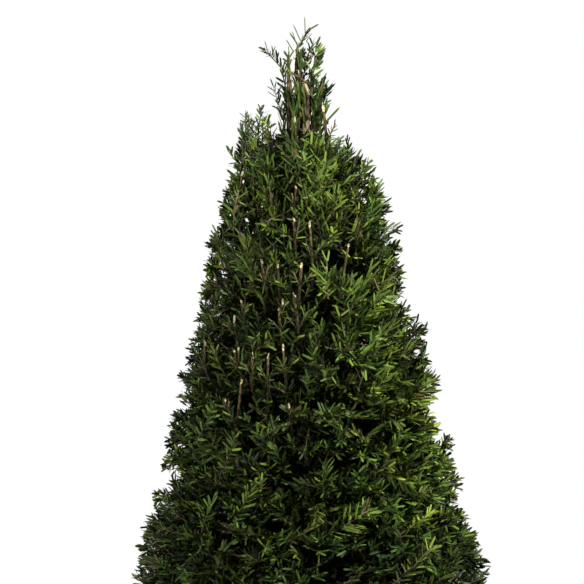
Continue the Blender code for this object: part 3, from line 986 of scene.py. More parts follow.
def stub_tufts(stubs, rng):
    """Small shoots that grow round the foot of each clipped stem and partly hide it."""
    shoots = []
    for stub in stubs:
        right = unit(np.cross(stub.axis, stub.view))
        foot = stub.top - stub.axis * (stub.length * 0.9 + 0.010)
        for lean in (rng.uniform(-0.9, -0.2), rng.uniform(0.2, 0.9)):
            heading = unit(stub.axis + right * lean + stub.view * rng.uniform(0.1, 0.7))
            length = min(stub.length * rng.uniform(0.4, 0.7) + 0.006, 0.028)
            item = shoot(
                foot + heading * length, heading, unit(heading + stub.view * 0.3), length, out=stub.view,
                strength=0.3, needle=rng.uniform(0.011, 0.016), flat=rng.uniform(0.1, 0.6),
            )
            item.across = unit(np.cross(heading, stub.view))
            tone = ("mid", "leafy")[int(rng.integers(2))]
            painted(item, tone, rng.uniform(6.5, 9.5), rng.normal(0.6, 0.4))
            item.line = axis_points(item, 3)
            shoots.append(item)
    return shoots


def inner_sprays(outer, rng):
    """Shorter sprays in layers behind the surface, which close the crown and later take dark tones as painted
    shade.
    """
    sprays = []
    for shallow, deep, share in INNER_LAYERS:
        for item in outer:
            if rng.random() > share:
                continue
            depth = rng.uniform(shallow, deep)
            room = room_at(item.tip, item.out)
            depth = min(depth, room * rng.uniform(0.3, 0.85))
            tip = item.tip - item.out * depth - UP * rng.uniform(0, 0.02) + rng.normal(0, 0.008, 3)
            if room - depth < 0.010 or depth < 0.010:
                continue
            heading = unit(item.heading + rng.normal(0, 0.45, 3))
            start = unit(heading + rng.normal(0, 0.2, 3))
            inner = shoot(
                tip, heading, start, item.length * rng.uniform(0.55, 0.85), out=item.out,
                strength=item.strength, needle=item.needle * 1.12, flat=item.flat, depth=depth,
            )
            sprays.append(spray(inner, rng))
    return sprays


# ---------------------------------------------------------------- the wood that carries the shoots


class Skeleton:
    """The wood so far: places to grow from, each with its heading, its parent and the shoots it feeds."""

    def __init__(self, room):
        self.place = np.zeros((room, 3))
        self.heading = np.zeros((room, 3))
        self.parent = np.full(room, -1)
        self.feeds = np.zeros(room)
        self.count = 0
        self.paths = []

    def add(self, places, headings, parent=-1):
        """Adds places one after another, each the parent of the next, and returns their numbers."""
        first = self.count
        self.count += len(places)
        numbers = np.arange(first, self.count)
        self.place[numbers] = places
        self.heading[numbers] = headings
        self.parent[numbers] = [parent, *numbers[:-1]]
        return numbers

    def add_line(self, points, kept=slice(None)):
        """Adds the kept points of a line, each heading along it, as a start of its own."""
        return self.add(points[kept], unit(np.gradient(points, axis=0))[kept])

    def best_start(self, target, heading):
        """The place to grow from: near, heading for the target, and behind it by the target's own heading."""
        way = target - self.place[: self.count]
        gap = np.linalg.norm(way, axis=1) + 1e-9
        agree = (way * self.heading[: self.count]).sum(1) / gap
        arrive = way @ heading / gap
        cost = gap * (1 + LEAVE_COST * (1 - agree) + ARRIVE_COST * (1 - arrive))
        cost += (gap < TOO_NEAR) * TOO_NEAR_COST
        return int(np.argmin(cost))

    def gap_to(self, target, heading):
        """How far the best start is from the target."""
        return np.linalg.norm(target - self.place[self.best_start(target, heading)])

    def join(self, target, heading, count):
        """Grows a curved path from the best start to the target, arriving along the heading."""
        start = self.best_start(target, heading)
        begin = self.place[start]
        gap = np.linalg.norm(target - begin)
        way = (target - begin) / max(gap, 1e-9)
        leave = unit(self.heading[start] * 0.55 + way * 0.75) * gap
        arrive = heading * gap * (0.35 + 0.55 * max(float(np.dot(heading, way)), 0.0))
        share = np.linspace(0, 1, count)[:, None]
        points = (
            begin * (2 * share**3 - 3 * share**2 + 1)
            + leave * (share**3 - 2 * share**2 + share)
            + target * (3 * share**2 - 2 * share**3)
            + arrive * (share**3 - share**2)
        )
        numbers = self.add(points[1:], unit(np.gradient(points, axis=0))[1:], start)
        self.paths.append(np.array([start, *numbers]))
        return numbers[-1]

    def feed(self, number, shoots):
        """Counts shoots at a place and at all that carry it."""
        while number >= 0:
            self.feeds[number] += shoots
            number = self.parent[number]

    def radius(self, numbers):
        """Wood thickens with the number of shoots it feeds."""
        return np.minimum(TWIG_RADIUS * np.maximum(self.feeds[numbers], 1) ** TWIG_GROWTH, LIMB_LIMIT)


def first_wood():
    """The trunk's upper part, the leader and the ends of the boughs, which the rest grows from."""
    wood = Skeleton(WOOD_PLACES)
    heights = np.arange(SPIKE_FOOT - 0.02, TRUNK_MIDDLES[-1, 2] - 0.004, 0.012)
    wood.add(trunk_centre(heights), UP)
    wood.add_line(centre_line("leader")[0](np.linspace(0.3, 1, 6)))
    for name in names_of("bough_"):
        wood.add_line(centre_line(name)[0](np.linspace(0.55, 1.0, 4)))
    return wood


def grow_limbs(wood, outer, rng):
    """Longer limbs, one to each patch of crown and the nearest first, which later shoots grow from."""
    order = [outer[index] for index in rng.permutation(len(outer))]
    order = [item for item in order if item.tip[2] <= SPIKE_FOOT]
    targets = []
    for index in thinned([item.tip for item in order], [LIMB_SPACING] * len(order)):
        item = order[index]
        depth = min(LIMB_DEPTH, 0.45 * room_at(item.tip, item.out))
        target = item.tip - item.out * depth - UP * 0.02
        heading = unit(item.out + UP * rng.uniform(0.6, 1.3))
        targets.append((wood.gap_to(target, heading), target, heading))
    for _, target, heading in sorted(targets, key=lambda entry: entry[0]):
        wood.join(target, heading, LIMB_PATH)


def attach(wood, sprays):
    """Joins each spray to the wood, the nearest first, and lets later sprays start from its lower half."""
    for index in np.argsort([wood.gap_to(item.base, item.start) for item in sprays]):
        item = sprays[index]
        end = wood.join(item.base, item.start, SPRAY_PATH - 1)
        points = axis_points(item, 5)
        numbers = wood.add(points[1:3], unit(np.gradient(points, axis=0))[1:3], end)
        wood.feed(numbers[-1], 1 + len(item.sides))


# ---------------------------------------------------------------- needles


class Needles:
    """Needles by tone, each with its foot, direction, normal, bend, length, width, row and column."""

    def __init__(self):
        self.rows = {tone: [] for tone in TONES}

    def add(self, tone, *facts):
        """Adds needles, each fact as an array or a list."""
        self.rows[tone].append(facts)

    def of(self, tone, stubs):
        """All the needles of a tone but those that close a gap or hide a stub."""
        parts = [np.concatenate(part) for part in zip(*self.rows[tone])]
        foot, along, _, _, length, width = parts[:6]
        reach = along * length[:, None]
        keep = ~(in_gap(foot, reach, width) | hides_stub(foot, reach, stubs)) & in_box(foot + reach)
        return [part[keep] for part in parts]


def needle_facings(item, along, rng):
    """A shoot's upper face at each needle, and the way each leans out: in two ranks on a flat shoot."""
    count = len(along)
    across = unit(square_to(item.across, along))
    face = np.cross(across, along)
    turn = np.arange(count) * LEAF_TURN + rng.uniform(0, 6.28)
    ranks = np.where(np.arange(count) % 2 == 0, 1.0, -1.0)
    if item.ranks in (LEFT, RIGHT):
        wrong_side = 1.0 if item.ranks == LEFT else -1.0
        ranks = np.where((ranks == wrong_side) & (rng.random(count) < 0.85), -wrong_side, ranks)
    side = np.cos(turn) * (1 - item.flat) + ranks * item.flat
    lift = np.sin(turn) * (1 - item.flat) + item.flat * rng.normal(0.34, 0.14, count)
    spread = unit(across * side[:, None] + face * lift[:, None])
    return face, spread


def dress(item, needles, rng):
    """Sets the needles along a shoot."""
    high = long_needled(item.tip[2])
    step = min(lerp(NEEDLE_STEP, high), item.needle * 0.17) * item.spacing * (1.25 if item.depth > 0 else 1.0)
    if item.ranks in (LEFT, RIGHT):
        step *= 1.2
    count = max(int(item.length * 0.92 / step), 8)
    share = np.clip(np.linspace(0.06, 1.0, count) + rng.normal(0, 0.35 / count, count), 0.03, 1.0)
    point, along = axis_at(item, share[:, None])
    face, spread = needle_facings(item, along, rng)
    closing = lerp(NEEDLES_CLOSING, item.flat) * share**3
    lean = np.radians(lerp(NEEDLE_LEAN, item.flat) - closing + rng.normal(0, 10, count))
    if item.ranks == CLOSE:
        lean *= 0.45
    ray = along * np.cos(lean)[:, None] + spread * np.sin(lean)[:, None]
    upper = face * item.flat + along * (1 - item.flat) + rng.normal(0, 0.65, (count, 3))
    normal = unit(square_to(upper, ray))
    taper = 0.62 + 0.38 * np.sin(math.pi * np.clip(share * 0.9 + 0.08, 0, 1)) ** 0.7
    length = item.needle * taper * rng.uniform(0.82, 1.1, count)
    width = min(lerp(NEEDLE_WIDTH, high), item.needle * 0.2) * breadth(item) * rng.uniform(0.8, 1.1, count)
    bend = along * rng.uniform(0.02, 0.30, (count, 1)) - normal * rng.normal(0.04, 0.10, (count, 1))
    bend += np.cross(ray, normal) * rng.normal(0, 0.10, (count, 1))
    # Painted shade: needles deeper behind the crown's surface take darker rows of the map.
    depths = np.interp(share, SHADE_SHARES, [depth_of(axis_at(item, at)[0]) for at in SHADE_SHARES])
    shade = np.clip(depths / lerp(PAINTED_SHADE_DEPTH, high), 0, 1) * PAINTED_SHADE_ROWS
    row = item.row - shade + rng.normal(0, lerp(ROW_SPREAD, item.strength), count) + 1.5 * (share > 0.8)
    row = np.clip(np.round(row), 0, ROWS - 1)
    hue = np.clip(np.round(item.hue + rng.normal(0, 0.35, count)), 0, HUES - 1)
    dry = rng.random(count) < DRY_SHARE
    facts = (point + spread * 0.0006, ray, normal, bend, length, width, row, hue)
    needles.add(item.tone, *[fact[~dry] for fact in facts])
    needles.add("dry", *[fact[dry] for fact in facts])


def breadth(item):
    """How much broader than life a shoot's needles are: more so the deeper it lies, to close the crown."""
    if item.depth == 0 and item.ranks != TUFT:
        return 1.0
    return BROADER if item.depth < BROAD_BELOW else BROADEST


def lone_needles(needles):
    """The few long needles that stand clear of the rest."""
    for foot_side, foot_height, side, height, depth, bow, scale in LONE_NEEDLES:
        foot = on_sight(foot_side, foot_height, depth)
        way = on_sight(side, height, depth) - foot
        length = np.linalg.norm(way)
        view = unit(CAMERA - foot)
        bend = -unit(np.cross(way, CAMERA - foot)) * bow
        facts = (foot, way / length - bend * 0.5, view, bend, length, 0.0030 * scale, 10.0, 1.0)
        needles.add("leafy", *[np.array([fact]) for fact in facts])


def in_box(places):
    """True for places no more than a little outside the CAD model's box."""
    low, high = (np.array(corner) for corner in CAD_BOX)
    return ((places > low - PAST_BOX) & (places < high + PAST_BOX)).all(1)


def in_gap(foot, reach, width):
    """True for needles that would close one of the gaps the sky shows through."""
    inside = np.zeros(len(foot), bool)
    for share in NEEDLE_SHARES:
        side, height = in_picture(foot + reach * share)
        for gap_side, gap_height, gap_width in GAPS:
            clear = gap_width * GAP_SCALE + width * 0.4
            across = (side - gap_side) / clear
            upright = (height - gap_height) / clear / GAP_HEIGHT_SHARE
            inside |= across**2 + upright**2 < 1
    return inside


def hides_stub(foot, reach, stubs):
    """True for needles that cross in front of a stub, as seen from where it faces."""
    hidden = np.zeros(len(foot), bool)
    for stub in stubs:
        near = np.linalg.norm(foot - stub.top, axis=1) < stub.length + 0.045
        if not near.any():
            continue
        across = unit(np.cross(stub.axis, stub.view))
        for share in NEEDLE_SHARES:
            way = foot[near] + reach[near] * share - stub.top
            below = -(way @ stub.axis)
            cleared = (below > -0.002) & (below < stub.clear)
            cleared &= (np.abs(way @ across) < stub.radius + 0.0004) & (way @ stub.view > -0.002)
            hidden[near] |= cleared
    return hidden


def band(height, middle, reach):
    """A smooth band of heights: one at its middle and fading above and below."""
    return math.exp(-(((height - middle) / reach) ** 2))


def pick_tone(item, rng):
    """A spray's tone, by painted light and shade: deep or dark inside the crown, and on the outside lighter
    or darker by its side and height, as the lamps light it.
    """
    if item.depth > 0:
        return "deep" if rng.random() < DEEP_SHARE else "dark"
    height = item.tip[2]
    right = max(item.out[0], 0)
    left = max(-item.out[0], 0)
    skirt = band(height, SKIRT_LIGHT, 0.075) * (0.72 * right + 0.32 * left - 0.14 * (1 - right - left))
    side = 0.34 * item.out[0] + 0.30 * right * band(height, SIDE_LIGHT, 0.10)
    foot = 3.5 * min(height - FOOT_SHADE, 0) * right
    top = 0.34 * (height - EVEN_LIGHT) + 0.4 * (1 - right) * max(height - SHOULDER + 0.06, 0)
    top -= 1.1 * right * max(height - TOP_SHADE, 0)
    light = MEAN_LIGHT + side + skirt + foot + top + rng.normal(0, LIGHT_SPREAD)
    for tone, most in TONE_LIMITS:
        if light < most:
            return tone
    return "lime"


def needle_mesh(name, parts):
    """One mesh of needles, each a narrow blade of four triangles with parallel sides and a short point."""
    foot, along, normal, bend, length, width, row, hue = parts
    count = len(foot)
    stations = np.array((0.0, 0.12, 0.82, 1.0))
    far = length[:, None] * stations
    middle = foot[:, None] + along[:, None] * far[..., None] + bend[:, None] * (far * stations)[..., None]
    half = np.cross(along, normal) * (width / 2)[:, None]
    station_of = np.array((0, 1, 1, 2, 2, 3))
    sideways = np.array((0, -1, 1, -0.94, 0.94, 0))
    places = middle[:, station_of] + half[:, None] * sideways[:, None]
    corners = np.array((0, 2, 1, 1, 2, 4, 3, 3, 4, 5))
    uv_across = np.array((0.5, 0.06, 0.94, 0.06, 0.94, 0.5))
    loops = (np.arange(count)[:, None] * len(station_of) + corners).ravel()
    uv = np.empty((count, len(corners), 2), np.float32)
    uv[..., 0] = (hue[:, None] + 0.02 + 0.96 * stations[station_of][corners]) / HUES
    uv[..., 1] = (row[:, None] + uv_across[corners]) / ROWS
    return fast_mesh(name, places.reshape(-1, 3), loops, np.tile((3, 4, 3), count), uv.reshape(-1, 2))


def fast_mesh(name, places, loops, sizes, uv=None):
    """A smooth mesh from vertices, the faces' corners one after another, and how many each face has."""
    mesh = bpy.data.meshes.new(name)
    mesh.vertices.add(len(places))
    mesh.vertices.foreach_set("co", places.astype(np.float32).ravel())
    mesh.loops.add(len(loops))
    mesh.loops.foreach_set("vertex_index", loops.astype(np.int32))
    mesh.polygons.add(len(sizes))
    starts = np.concatenate(([0], np.cumsum(sizes)[:-1]))
    mesh.polygons.foreach_set("loop_start", starts.astype(np.int32))
    if uv is not None:
        layer = mesh.uv_layers.new(name=BAKE_MAP)
        layer.uv.foreach_set("vector", uv.astype(np.float32).ravel())
    mesh.update(calc_edges=True)
    mesh.validate()
    mesh.shade_smooth()
    return mesh


def ring_faces(rings, sides, first=0):
    """The quads between rings of vertices that follow one another."""
    low = first + np.arange(rings - 1)[:, None] * sides + np.arange(sides)
    after = first + np.arange(rings - 1)[:, None] * sides + (np.arange(sides) + 1) % sides
    return np.stack([low, after, after + sides, low + sides], -1).reshape(-1, 4)


def fan_faces(first, sides, middle):
    """The triangles between a ring of vertices and one in its middle."""
    ring = np.arange(sides)
    return np.stack([first + ring, first + (ring + 1) % sides, np.full(sides, middle)], 1)


def corners_of(*groups):
    """Groups of faces as corners one after another, and each face's number of corners."""
    loops = np.concatenate([np.ravel(group) for group in groups])
    return loops, np.concatenate([np.full(len(group), np.shape(group)[1]) for group in groups])


def linked(name, data):
    """A new object in the scene."""
    made = bpy.data.objects.new(name, data)
    bpy.context.scene.collection.objects.link(made)
    return made


def add_piece(mesh, finish, stands_for):
    """A visible piece that rides on the plant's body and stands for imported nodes."""
    piece = linked(mesh.name, mesh)
    mesh.materials.append(finish)
    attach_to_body(piece, BODY)
    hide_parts(*stands_for)


# ---------------------------------------------------------------- wood


def tubes(points, radii, sides):
    """Tapering tubes through rows of points: all vertices, corners and face sizes, and one tube's corners."""
    count, rings = points.shape[:2]
    along = unit(np.gradient(points, axis=1))
    first = np.where(np.abs(along[:, 0, 2:]) < 0.9, UP, np.array((1.0, 0.0, 0.0)))
    across = unit(np.cross(along[:, 0], first))
    places = np.empty((count, rings * sides + 1, 3))
    turn = turns_round(sides)
    for ring in range(rings):
        across = unit(square_to(across, along[:, ring]))
        round_it = circle(across, np.cross(along[:, ring], across), turn)
        own = slice(ring * sides, (ring + 1) * sides)
        places[:, own] = points[:, ring, None] + round_it * radii[:, ring, None, None]
    places[:, -1] = points[:, -1] + along[:, -1] * radii[:, -1:] * 0.8
    tips = fan_faces((rings - 1) * sides, sides, rings * sides)
    corners, sizes = corners_of(ring_faces(rings, sides), tips)
    loops = (np.arange(count)[:, None] * (rings * sides + 1) + corners).ravel()
    return places.reshape(-1, 3), loops, np.tile(sizes, count), corners


def tube_piece(name, batches, rng):
    """Joins batches of tubes, each with points, radii, and a share from old wood, 0, to young, 1."""
    parts = []
    first = 0
    for points, radii, youth, sides in batches:
        places, loops, sizes, corners = tubes(points, radii, sides)
        count, rings = points.shape[:2]
        ring_of = np.minimum(corners // sides, rings - 1)
        uv = np.empty((count, len(corners), 2), np.float32)
        uv[..., 0] = 0.02 + 0.96 * youth[:, ring_of]
        # Painted shade: wood deeper behind the crown's surface gets a darker second number on the map, times
        # a random tone for each tube.
        depths = np.array([depth_of(place) for place in points.reshape(-1, 3)]).reshape(count, rings)
        lightness = np.clip(1 - depths / WOOD_PAINTED_SHADE_DEPTH, 0, 1) * rng.uniform(0.12, 0.62, (count, 1))
        uv[..., 1] = np.clip(0.03 + lightness[:, ring_of], 0.02, 0.98)
        parts.append((places, loops + first, sizes, uv.reshape(-1, 2)))
        first += len(places)
    return fast_mesh(name, *[np.concatenate(part) for part in zip(*parts)])


def make_twigs(wood, shoots, masses, rng):
    """The wood of the shoots, and the twigs and limbs that carry them."""
    points = np.stack([axis_points(item, 3) for item in shoots])
    radii = np.tile(TWIG_RADIUS * np.array([1.30, 1.05, 0.60]), (len(shoots), 1))
    youth = np.tile(np.linspace(0.50, 1.0, 3), (len(shoots), 1))
    for number, item in enumerate(shoots):
        if rng.random() < CLIPPED_SHARE * (1 - item.strength):
            points[number, 2] += item.heading * rng.uniform(0.001, 0.004)
            radii[number] = TWIG_RADIUS * np.array((1.5, 1.5, 1.6))
            youth[number] = (0.5, 0.42, 0.36)
    finish = twig_material()
    add_piece(tube_piece("shoot_wood", [(points, radii, youth, 3)], rng), finish, masses)
    by_count = {}
    for path in wood.paths:
        by_count.setdefault(len(path), []).append(path)
    batches = []
    for numbers in map(np.array, by_count.values()):
        own = wood.radius(numbers[:, 1:])
        radii = np.concatenate([own[:, :1] * 1.08, own], 1)
        youth = np.clip(0.6 - (radii - TWIG_RADIUS) / 0.0025, 0, 1)
        batches.append((wood.place[numbers], radii, youth, 3 if numbers.shape[1] == SPRAY_PATH else 5))
    add_piece(tube_piece("twigs", batches, rng), finish, masses)


def make_spike_stems(rng):
    """The leader and the bare stems beside the trunk's cut tip."""
    share = np.linspace(0, 1, 9)
    lines = []
    radii = []
    for foot_side, foot_height, side, height, depth, wide, narrow in SPIKE_STEMS:
        wander = np.cumsum(rng.normal(0, 0.0004, (len(share), 3)), axis=0)
        ends = (on_sight(foot_side, foot_height, depth), on_sight(side, height, depth))
        lines.append(ends[0] * (1 - share[:, None]) + ends[1] * share[:, None] + wander)
        radii.append(wide * (1 - share) + narrow * share)
    places, loops, sizes, _ = tubes(np.stack(lines), np.array(radii), 12)
    finish = bark_material("spike_bark", STEM_COLOURS, 480.0, 0.0004)
    add_piece(fast_mesh("spike_stems", places, loops, sizes), finish, ["leader"])


def make_stubs(stubs, masses, rng):
    """The clipped stems, each ending in a slanting cut, and their pale cut faces as a piece of their own."""
    turn = turns_round(STUB_SIDES)
    bark = []
    cuts = []
    for stub in stubs:
        toward = unit(stub.view + rng.normal(0, 0.4, 3))
        slant = stub.radius * rng.uniform(3.0, 6.5)
        headings = unit(np.gradient(stub.path, axis=0))
        for share, centre, heading in zip(np.linspace(0, 1, len(stub.path)), stub.path, headings):
            facing = unit(square_to(toward, heading))
            drop = slant * (1 + np.cos(turn)) / 2 * max(share * 3 - 2, 0)
            swell = 0.90 + 0.12 * (1 - share) + rng.normal(0, 0.06, STUB_SIDES)
            round_it = circle(facing, np.cross(heading, facing), turn)
            ring = centre - heading * drop[:, None] + round_it * (stub.radius * swell)[:, None]
            bark.append(ring)
        cuts.append(np.concatenate([ring, [ring.mean(0)]]) + stub.axis * 0.0002)
    steps = len(stubs[0].path)
    faces = [ring_faces(steps, STUB_SIDES, k * steps * STUB_SIDES) for k in range(len(stubs))]
    loops, sizes = corners_of(*faces)
    # Painted shade: each clipped stem darkens from its cut top down towards where it hides in the crown.
    share = (loops // STUB_SIDES % steps) / (steps - 1)
    stub_painted_shade = np.stack([np.full(len(loops), 0.5), 0.16 + 0.80 * np.clip(share * 1.6 - 0.6, 0, 1)], 1)
    mesh = fast_mesh("clipped_stems", np.concatenate(bark), loops, sizes, stub_painted_shade)
    add_piece(mesh, bark_material("stem_bark", STEM_COLOURS, 620.0, 0.0004, True), masses)
    rows = range(0, len(stubs) * (STUB_SIDES + 1), STUB_SIDES + 1)
    fans = corners_of(*[fan_faces(first, STUB_SIDES, first + STUB_SIDES) for first in rows])
    add_piece(fast_mesh("cut_ends", np.concatenate(cuts), *fans), cut_material(), masses)


# ---------------------------------------------------------------- trunk and boughs

TRUNK_SIDES = 48
TRUNK_STEPS = 300
BOUGH_SIDES = 16
BOUGH_STEPS = 26


def bark_relief(turn, along, coarse):
    """How far bark stands out, from about -1 to 1: long flutes, flakes with steep edges and a fine grain."""
    x, y = math.cos(turn), math.sin(turn)
    flute = noise.noise(Vector((x * 1.5, y * 1.5, along * 7.0 * coarse)))
    flake = math.tanh(4.0 * noise.noise(Vector((x * 3.2 + 7.0, y * 3.2, along * 42.0 * coarse))))
    grain = noise.noise(Vector((x * 9.0, y * 9.0 + 3.0, along * 120.0 * coarse)))
    return 0.55 * flute + 0.28 * flake + 0.22 * grain


def bark_rings(centres, radii, sides, relief, coarse):
    """Rings of vertices round a limb, with the bark's relief."""
    headings = unit(np.gradient(centres, axis=0))
    along = np.concatenate([[0.0], np.cumsum(np.linalg.norm(np.diff(centres, axis=0), axis=1))])
    along += centres[0, 0] * 50
    across = unit(np.cross(headings[0], (0.3, 1.0, 0.1)))
    turns = turns_round(sides)
    rings = []
    for centre, radius, heading, way in zip(centres, radii, headings, along):
        across = unit(square_to(across, heading))
        swell = np.array([1 + relief * bark_relief(turn, way, coarse) for turn in turns])
        round_it = circle(across, np.cross(heading, across), turns)
        rings.append(centre + round_it * (radius * swell)[:, None])
    return np.stack(rings)


def root_lobes(ring, centre, height):
    """Spreads a ring of the trunk into lobes near the soil."""
    away = ring[:, :2] - centre[:2]
    turns = np.arctan2(away[:, 1], away[:, 0])
    flare = 0.22 * math.exp(-max(height - SOIL_TOP, 0) / 0.028)
    ring[:, :2] += away * (flare * (np.cos(5 * turns + 0.7) + 0.4 * np.cos(3 * turns)))[:, None]


def make_trunk():
    """The trunk, with root lobes at the soil and a slanting cut at its top, and the pale face of that cut."""
    top = TRUNK_TOP - CUT_HALF_HEIGHT
    heights = np.linspace(SOIL_TOP - 0.012, top, TRUNK_STEPS)
    centres = trunk_centre(np.maximum(heights, TRUNK_MIDDLES[0, 2]))
    centres[:, 2] = heights
    rings = bark_rings(centres, trunk_radius(heights), TRUNK_SIDES, 0.10, 1.0)
    for ring, centre, height in zip(rings, centres, heights):
        root_lobes(ring, centre, height)
    facing = unit(np.array((*CUT_FACING, 0.0)))
    tilt = np.clip((heights - top + CUT_BELOW) / CUT_BELOW, 0, 1) ** 1.5
    reach = (rings - centres[:, None]) @ facing / trunk_radius(top)
    rings[..., 2] -= reach * tilt[:, None] * CUT_HALF_HEIGHT
    last = rings[-1]
    middle = last.mean(0)
    lip = middle + (last - middle) * 0.90
    places = np.concatenate([rings.reshape(-1, 3), lip])
    mesh = fast_mesh("trunk_bark", places, *corners_of(ring_faces(TRUNK_STEPS + 1, TRUNK_SIDES)))
    add_piece(mesh, bark_material("trunk_bark", BARK_COLOURS, 150.0, 0.0006), ["trunk"])
    quarter = TRUNK_SIDES // 4
    normal = unit(np.cross(last[quarter] - last[0], last[2 * quarter] - last[0]))
    face = np.concatenate([middle + (lip - middle) * 0.999, middle + (lip - middle) * 0.5, [middle]])
    faces = corners_of(ring_faces(2, TRUNK_SIDES), fan_faces(TRUNK_SIDES, TRUNK_SIDES, 2 * TRUNK_SIDES))
    add_piece(fast_mesh("trunk_cut", face + normal * 0.0003, *faces), cut_material(), ["trunk"])


def make_boughs():
    """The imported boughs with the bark's relief."""
    names = names_of("bough_")
    share = np.linspace(0, 1, BOUGH_STEPS)
    places = []
    for name in names:
        centre, radius = centre_line(name)
        rings = bark_rings(centre(share), np.maximum(radius(share), 0.0008), BOUGH_SIDES, 0.12, 1.6)
        places.append(rings.reshape(-1, 3))
    faces = [ring_faces(BOUGH_STEPS, BOUGH_SIDES, k * BOUGH_STEPS * BOUGH_SIDES) for k in range(len(names))]
    mesh = fast_mesh("boughs", np.concatenate(places), *corners_of(*faces))
    add_piece(mesh, bark_material("bough_bark", BARK_COLOURS, 210.0, 0.0005), names)


# ---------------------------------------------------------------- pot and soil


def wall_radius(height):
    """The pot's outer radius below its rim."""
    return POT_BASE_RADIUS + (POT_RIM_RADIUS - RIM_OVERHANG - POT_BASE_RADIUS) * height / POT_HEIGHT


def inner_radius(height):
    """The pot's inner radius."""
    return wall_radius(height) - POT_WALL


def arc(radius, height, bend, degrees):
    """Points of a section round a middle at a radius and height."""
    return [(radius + bend * math.cos(turn), height + bend * math.sin(turn)) for turn in np.radians(degrees)]


def wall_section():
    """The pot's outer wall with its beads, from below upwards."""
    wall = [(wall_radius(height), height) for height in (0.02, 0.04, *np.arange(0.07, 0.225, 0.02))]
    for height in BEAD_HEIGHTS:
        for step, proud in ((-0.0016, 0.0), (-0.0006, BEAD), (0.0006, BEAD), (0.0016, 0.0)):
            base = height + step if proud == 0.0 else height
            wall.append((wall_radius(base) + proud, height + step))
    return sorted(wall, key=lambda entry: entry[1])


def pot_profile():
    """The pot's section from under its middle, out, up, over the rim, down and in: radius and height."""
    foot = wall_radius(0.0)
    section = [(radius, FOOT_HEIGHT) for radius in (0.002, 0.05, *DRAIN_RADII, foot - 0.014)]
    section += [(foot - 0.0125, 0.0015), (foot - 0.011, 0.0), (foot - 0.004, 0.0)]
    section += [(foot - 0.0015, 0.0006), (wall_radius(0.003), 0.003), *wall_section()]
    low = POT_HEIGHT - RIM_HEIGHT
    rim = POT_RIM_RADIUS
    section += [(wall_radius(low - 0.006), low - 0.006), (wall_radius(low) + 0.0008, low - 0.0015)]
    section += [(rim - RIM_ROUND, low - 0.0005), (rim - 0.0022, low + 0.0010)]
    section += [(rim - 0.0014, low + 0.0040), (rim - 0.0008, POT_HEIGHT - 0.012)]
    section += arc(rim - RIM_ROUND, POT_HEIGHT - RIM_ROUND, RIM_ROUND, np.arange(0, 91, 15))
    inner = inner_radius(POT_HEIGHT) + LIP_ROUND
    section += arc(inner, POT_HEIGHT - LIP_ROUND, LIP_ROUND, np.arange(90, 181, 22.5))
    section += [(inner_radius(height), height) for height in (0.285, 0.272, 0.20, 0.10, 0.02)]
    inner = inner_radius(POT_FLOOR)
    section += [(inner - 0.003, POT_FLOOR + 0.0006), (inner - 0.008, POT_FLOOR)]
    section += [(radius, POT_FLOOR) for radius in (*reversed(DRAIN_RADII), 0.05, 0.002)]
    return np.array(section)


def make_pot():
    """A plain moulded pot with beads round its wall, a rolled rim, and drain holes through a raised floor."""
    section = pot_profile()
    rows = len(section)
    out = level(turns_round(POT_SIDES))
    places = section[:, None, :1] * out + section[:, None, 1:] * UP
    under = [section.tolist().index([radius, FOOT_HEIGHT]) for radius in DRAIN_RADII]
    upper = [section.tolist().index([radius, POT_FLOOR]) for radius in DRAIN_RADII]
    period = POT_SIDES // DRAIN_HOLES
    width = period // 3
    row, column = np.divmod(np.arange((rows - 1) * POT_SIDES), POT_SIDES)
    through = np.isin(row, (under[0], upper[1])) & (column % period < width)
    walls = []
    for first in range(0, POT_SIDES, period):
        for low, high in ((under[0], upper[0]), (upper[1], under[1])):
            for k in range(first, first + width):
                walls.append(((low, k + 1), (low, k), (high, k), (high, k + 1)))
        for k, (a, b) in ((first, (0, 1)), (first + width, (1, 0))):
            walls.append(((under[a], k), (under[b], k), (upper[b], k), (upper[a], k)))
    walls = np.array(walls) @ (POT_SIDES, 1)
    ends = np.array([np.arange(POT_SIDES), np.arange(rows * POT_SIDES)[: -POT_SIDES - 1 : -1]])
    faces = corners_of(ring_faces(rows, POT_SIDES)[~through], walls, ends)
    mesh = fast_mesh("plain_pot", places.reshape(-1, 3), *faces)
    mesh.set_sharp_from_angle(angle=math.radians(38))
    add_piece(mesh, pot_material(), ["pot"])


def soil_height(x, y):
    """The top of the soil: a shallow dish round the trunk, uneven as if firmed by hand."""
    radius = math.hypot(x, y)
    dish = SOIL_DISH * min(max((radius - 0.03) / 0.06, 0), 1)
    lumps = 0.0
    for height, slice_height, rate in ((0.0022, 0.4, 38.0), (0.0014, 0.9, 110.0), (0.0008, 0.2, 260.0)):
        lumps += height * noise.noise(Vector((x, y, slice_height)) * rate)
    return SOIL_TOP - dish + lumps


SOIL_RINGS = 74
SOIL_SIDES = 180
CRUMBS = 2600
CHIPS = 420
FALLEN = 240
OCTAHEDRON = np.array(((1, 0, 0), (-1, 0, 0), (0, 1, 0), (0, -1, 0), (0, 0, 1), (0, 0, -1)), float)
OCTAHEDRON_FACES = np.array(
    ((0, 2, 4), (2, 1, 4), (1, 3, 4), (3, 0, 4), (2, 0, 5), (1, 2, 5), (3, 1, 5), (0, 3, 5))
)
BOX = np.array([(x, y, z) for z in (-1, 1) for y in (-1, 1) for x in (-1, 1)], float)
BOX_FACES = np.array(((0, 2, 3, 1), (4, 5, 7, 6), (0, 1, 5, 4), (2, 6, 7, 3), (0, 4, 6, 2), (1, 3, 7, 5)))


def on_soil(count, rng, edge=0.006):
    """Places spread evenly over the soil."""
    radius = np.sqrt(rng.random(count)) * (inner_radius(SOIL_TOP) - edge)
    places = radius[:, None] * level(rng.random(count) * 2 * math.pi)
    places[:, 2] = [soil_height(x, y) for x, y, _ in places]
    return places


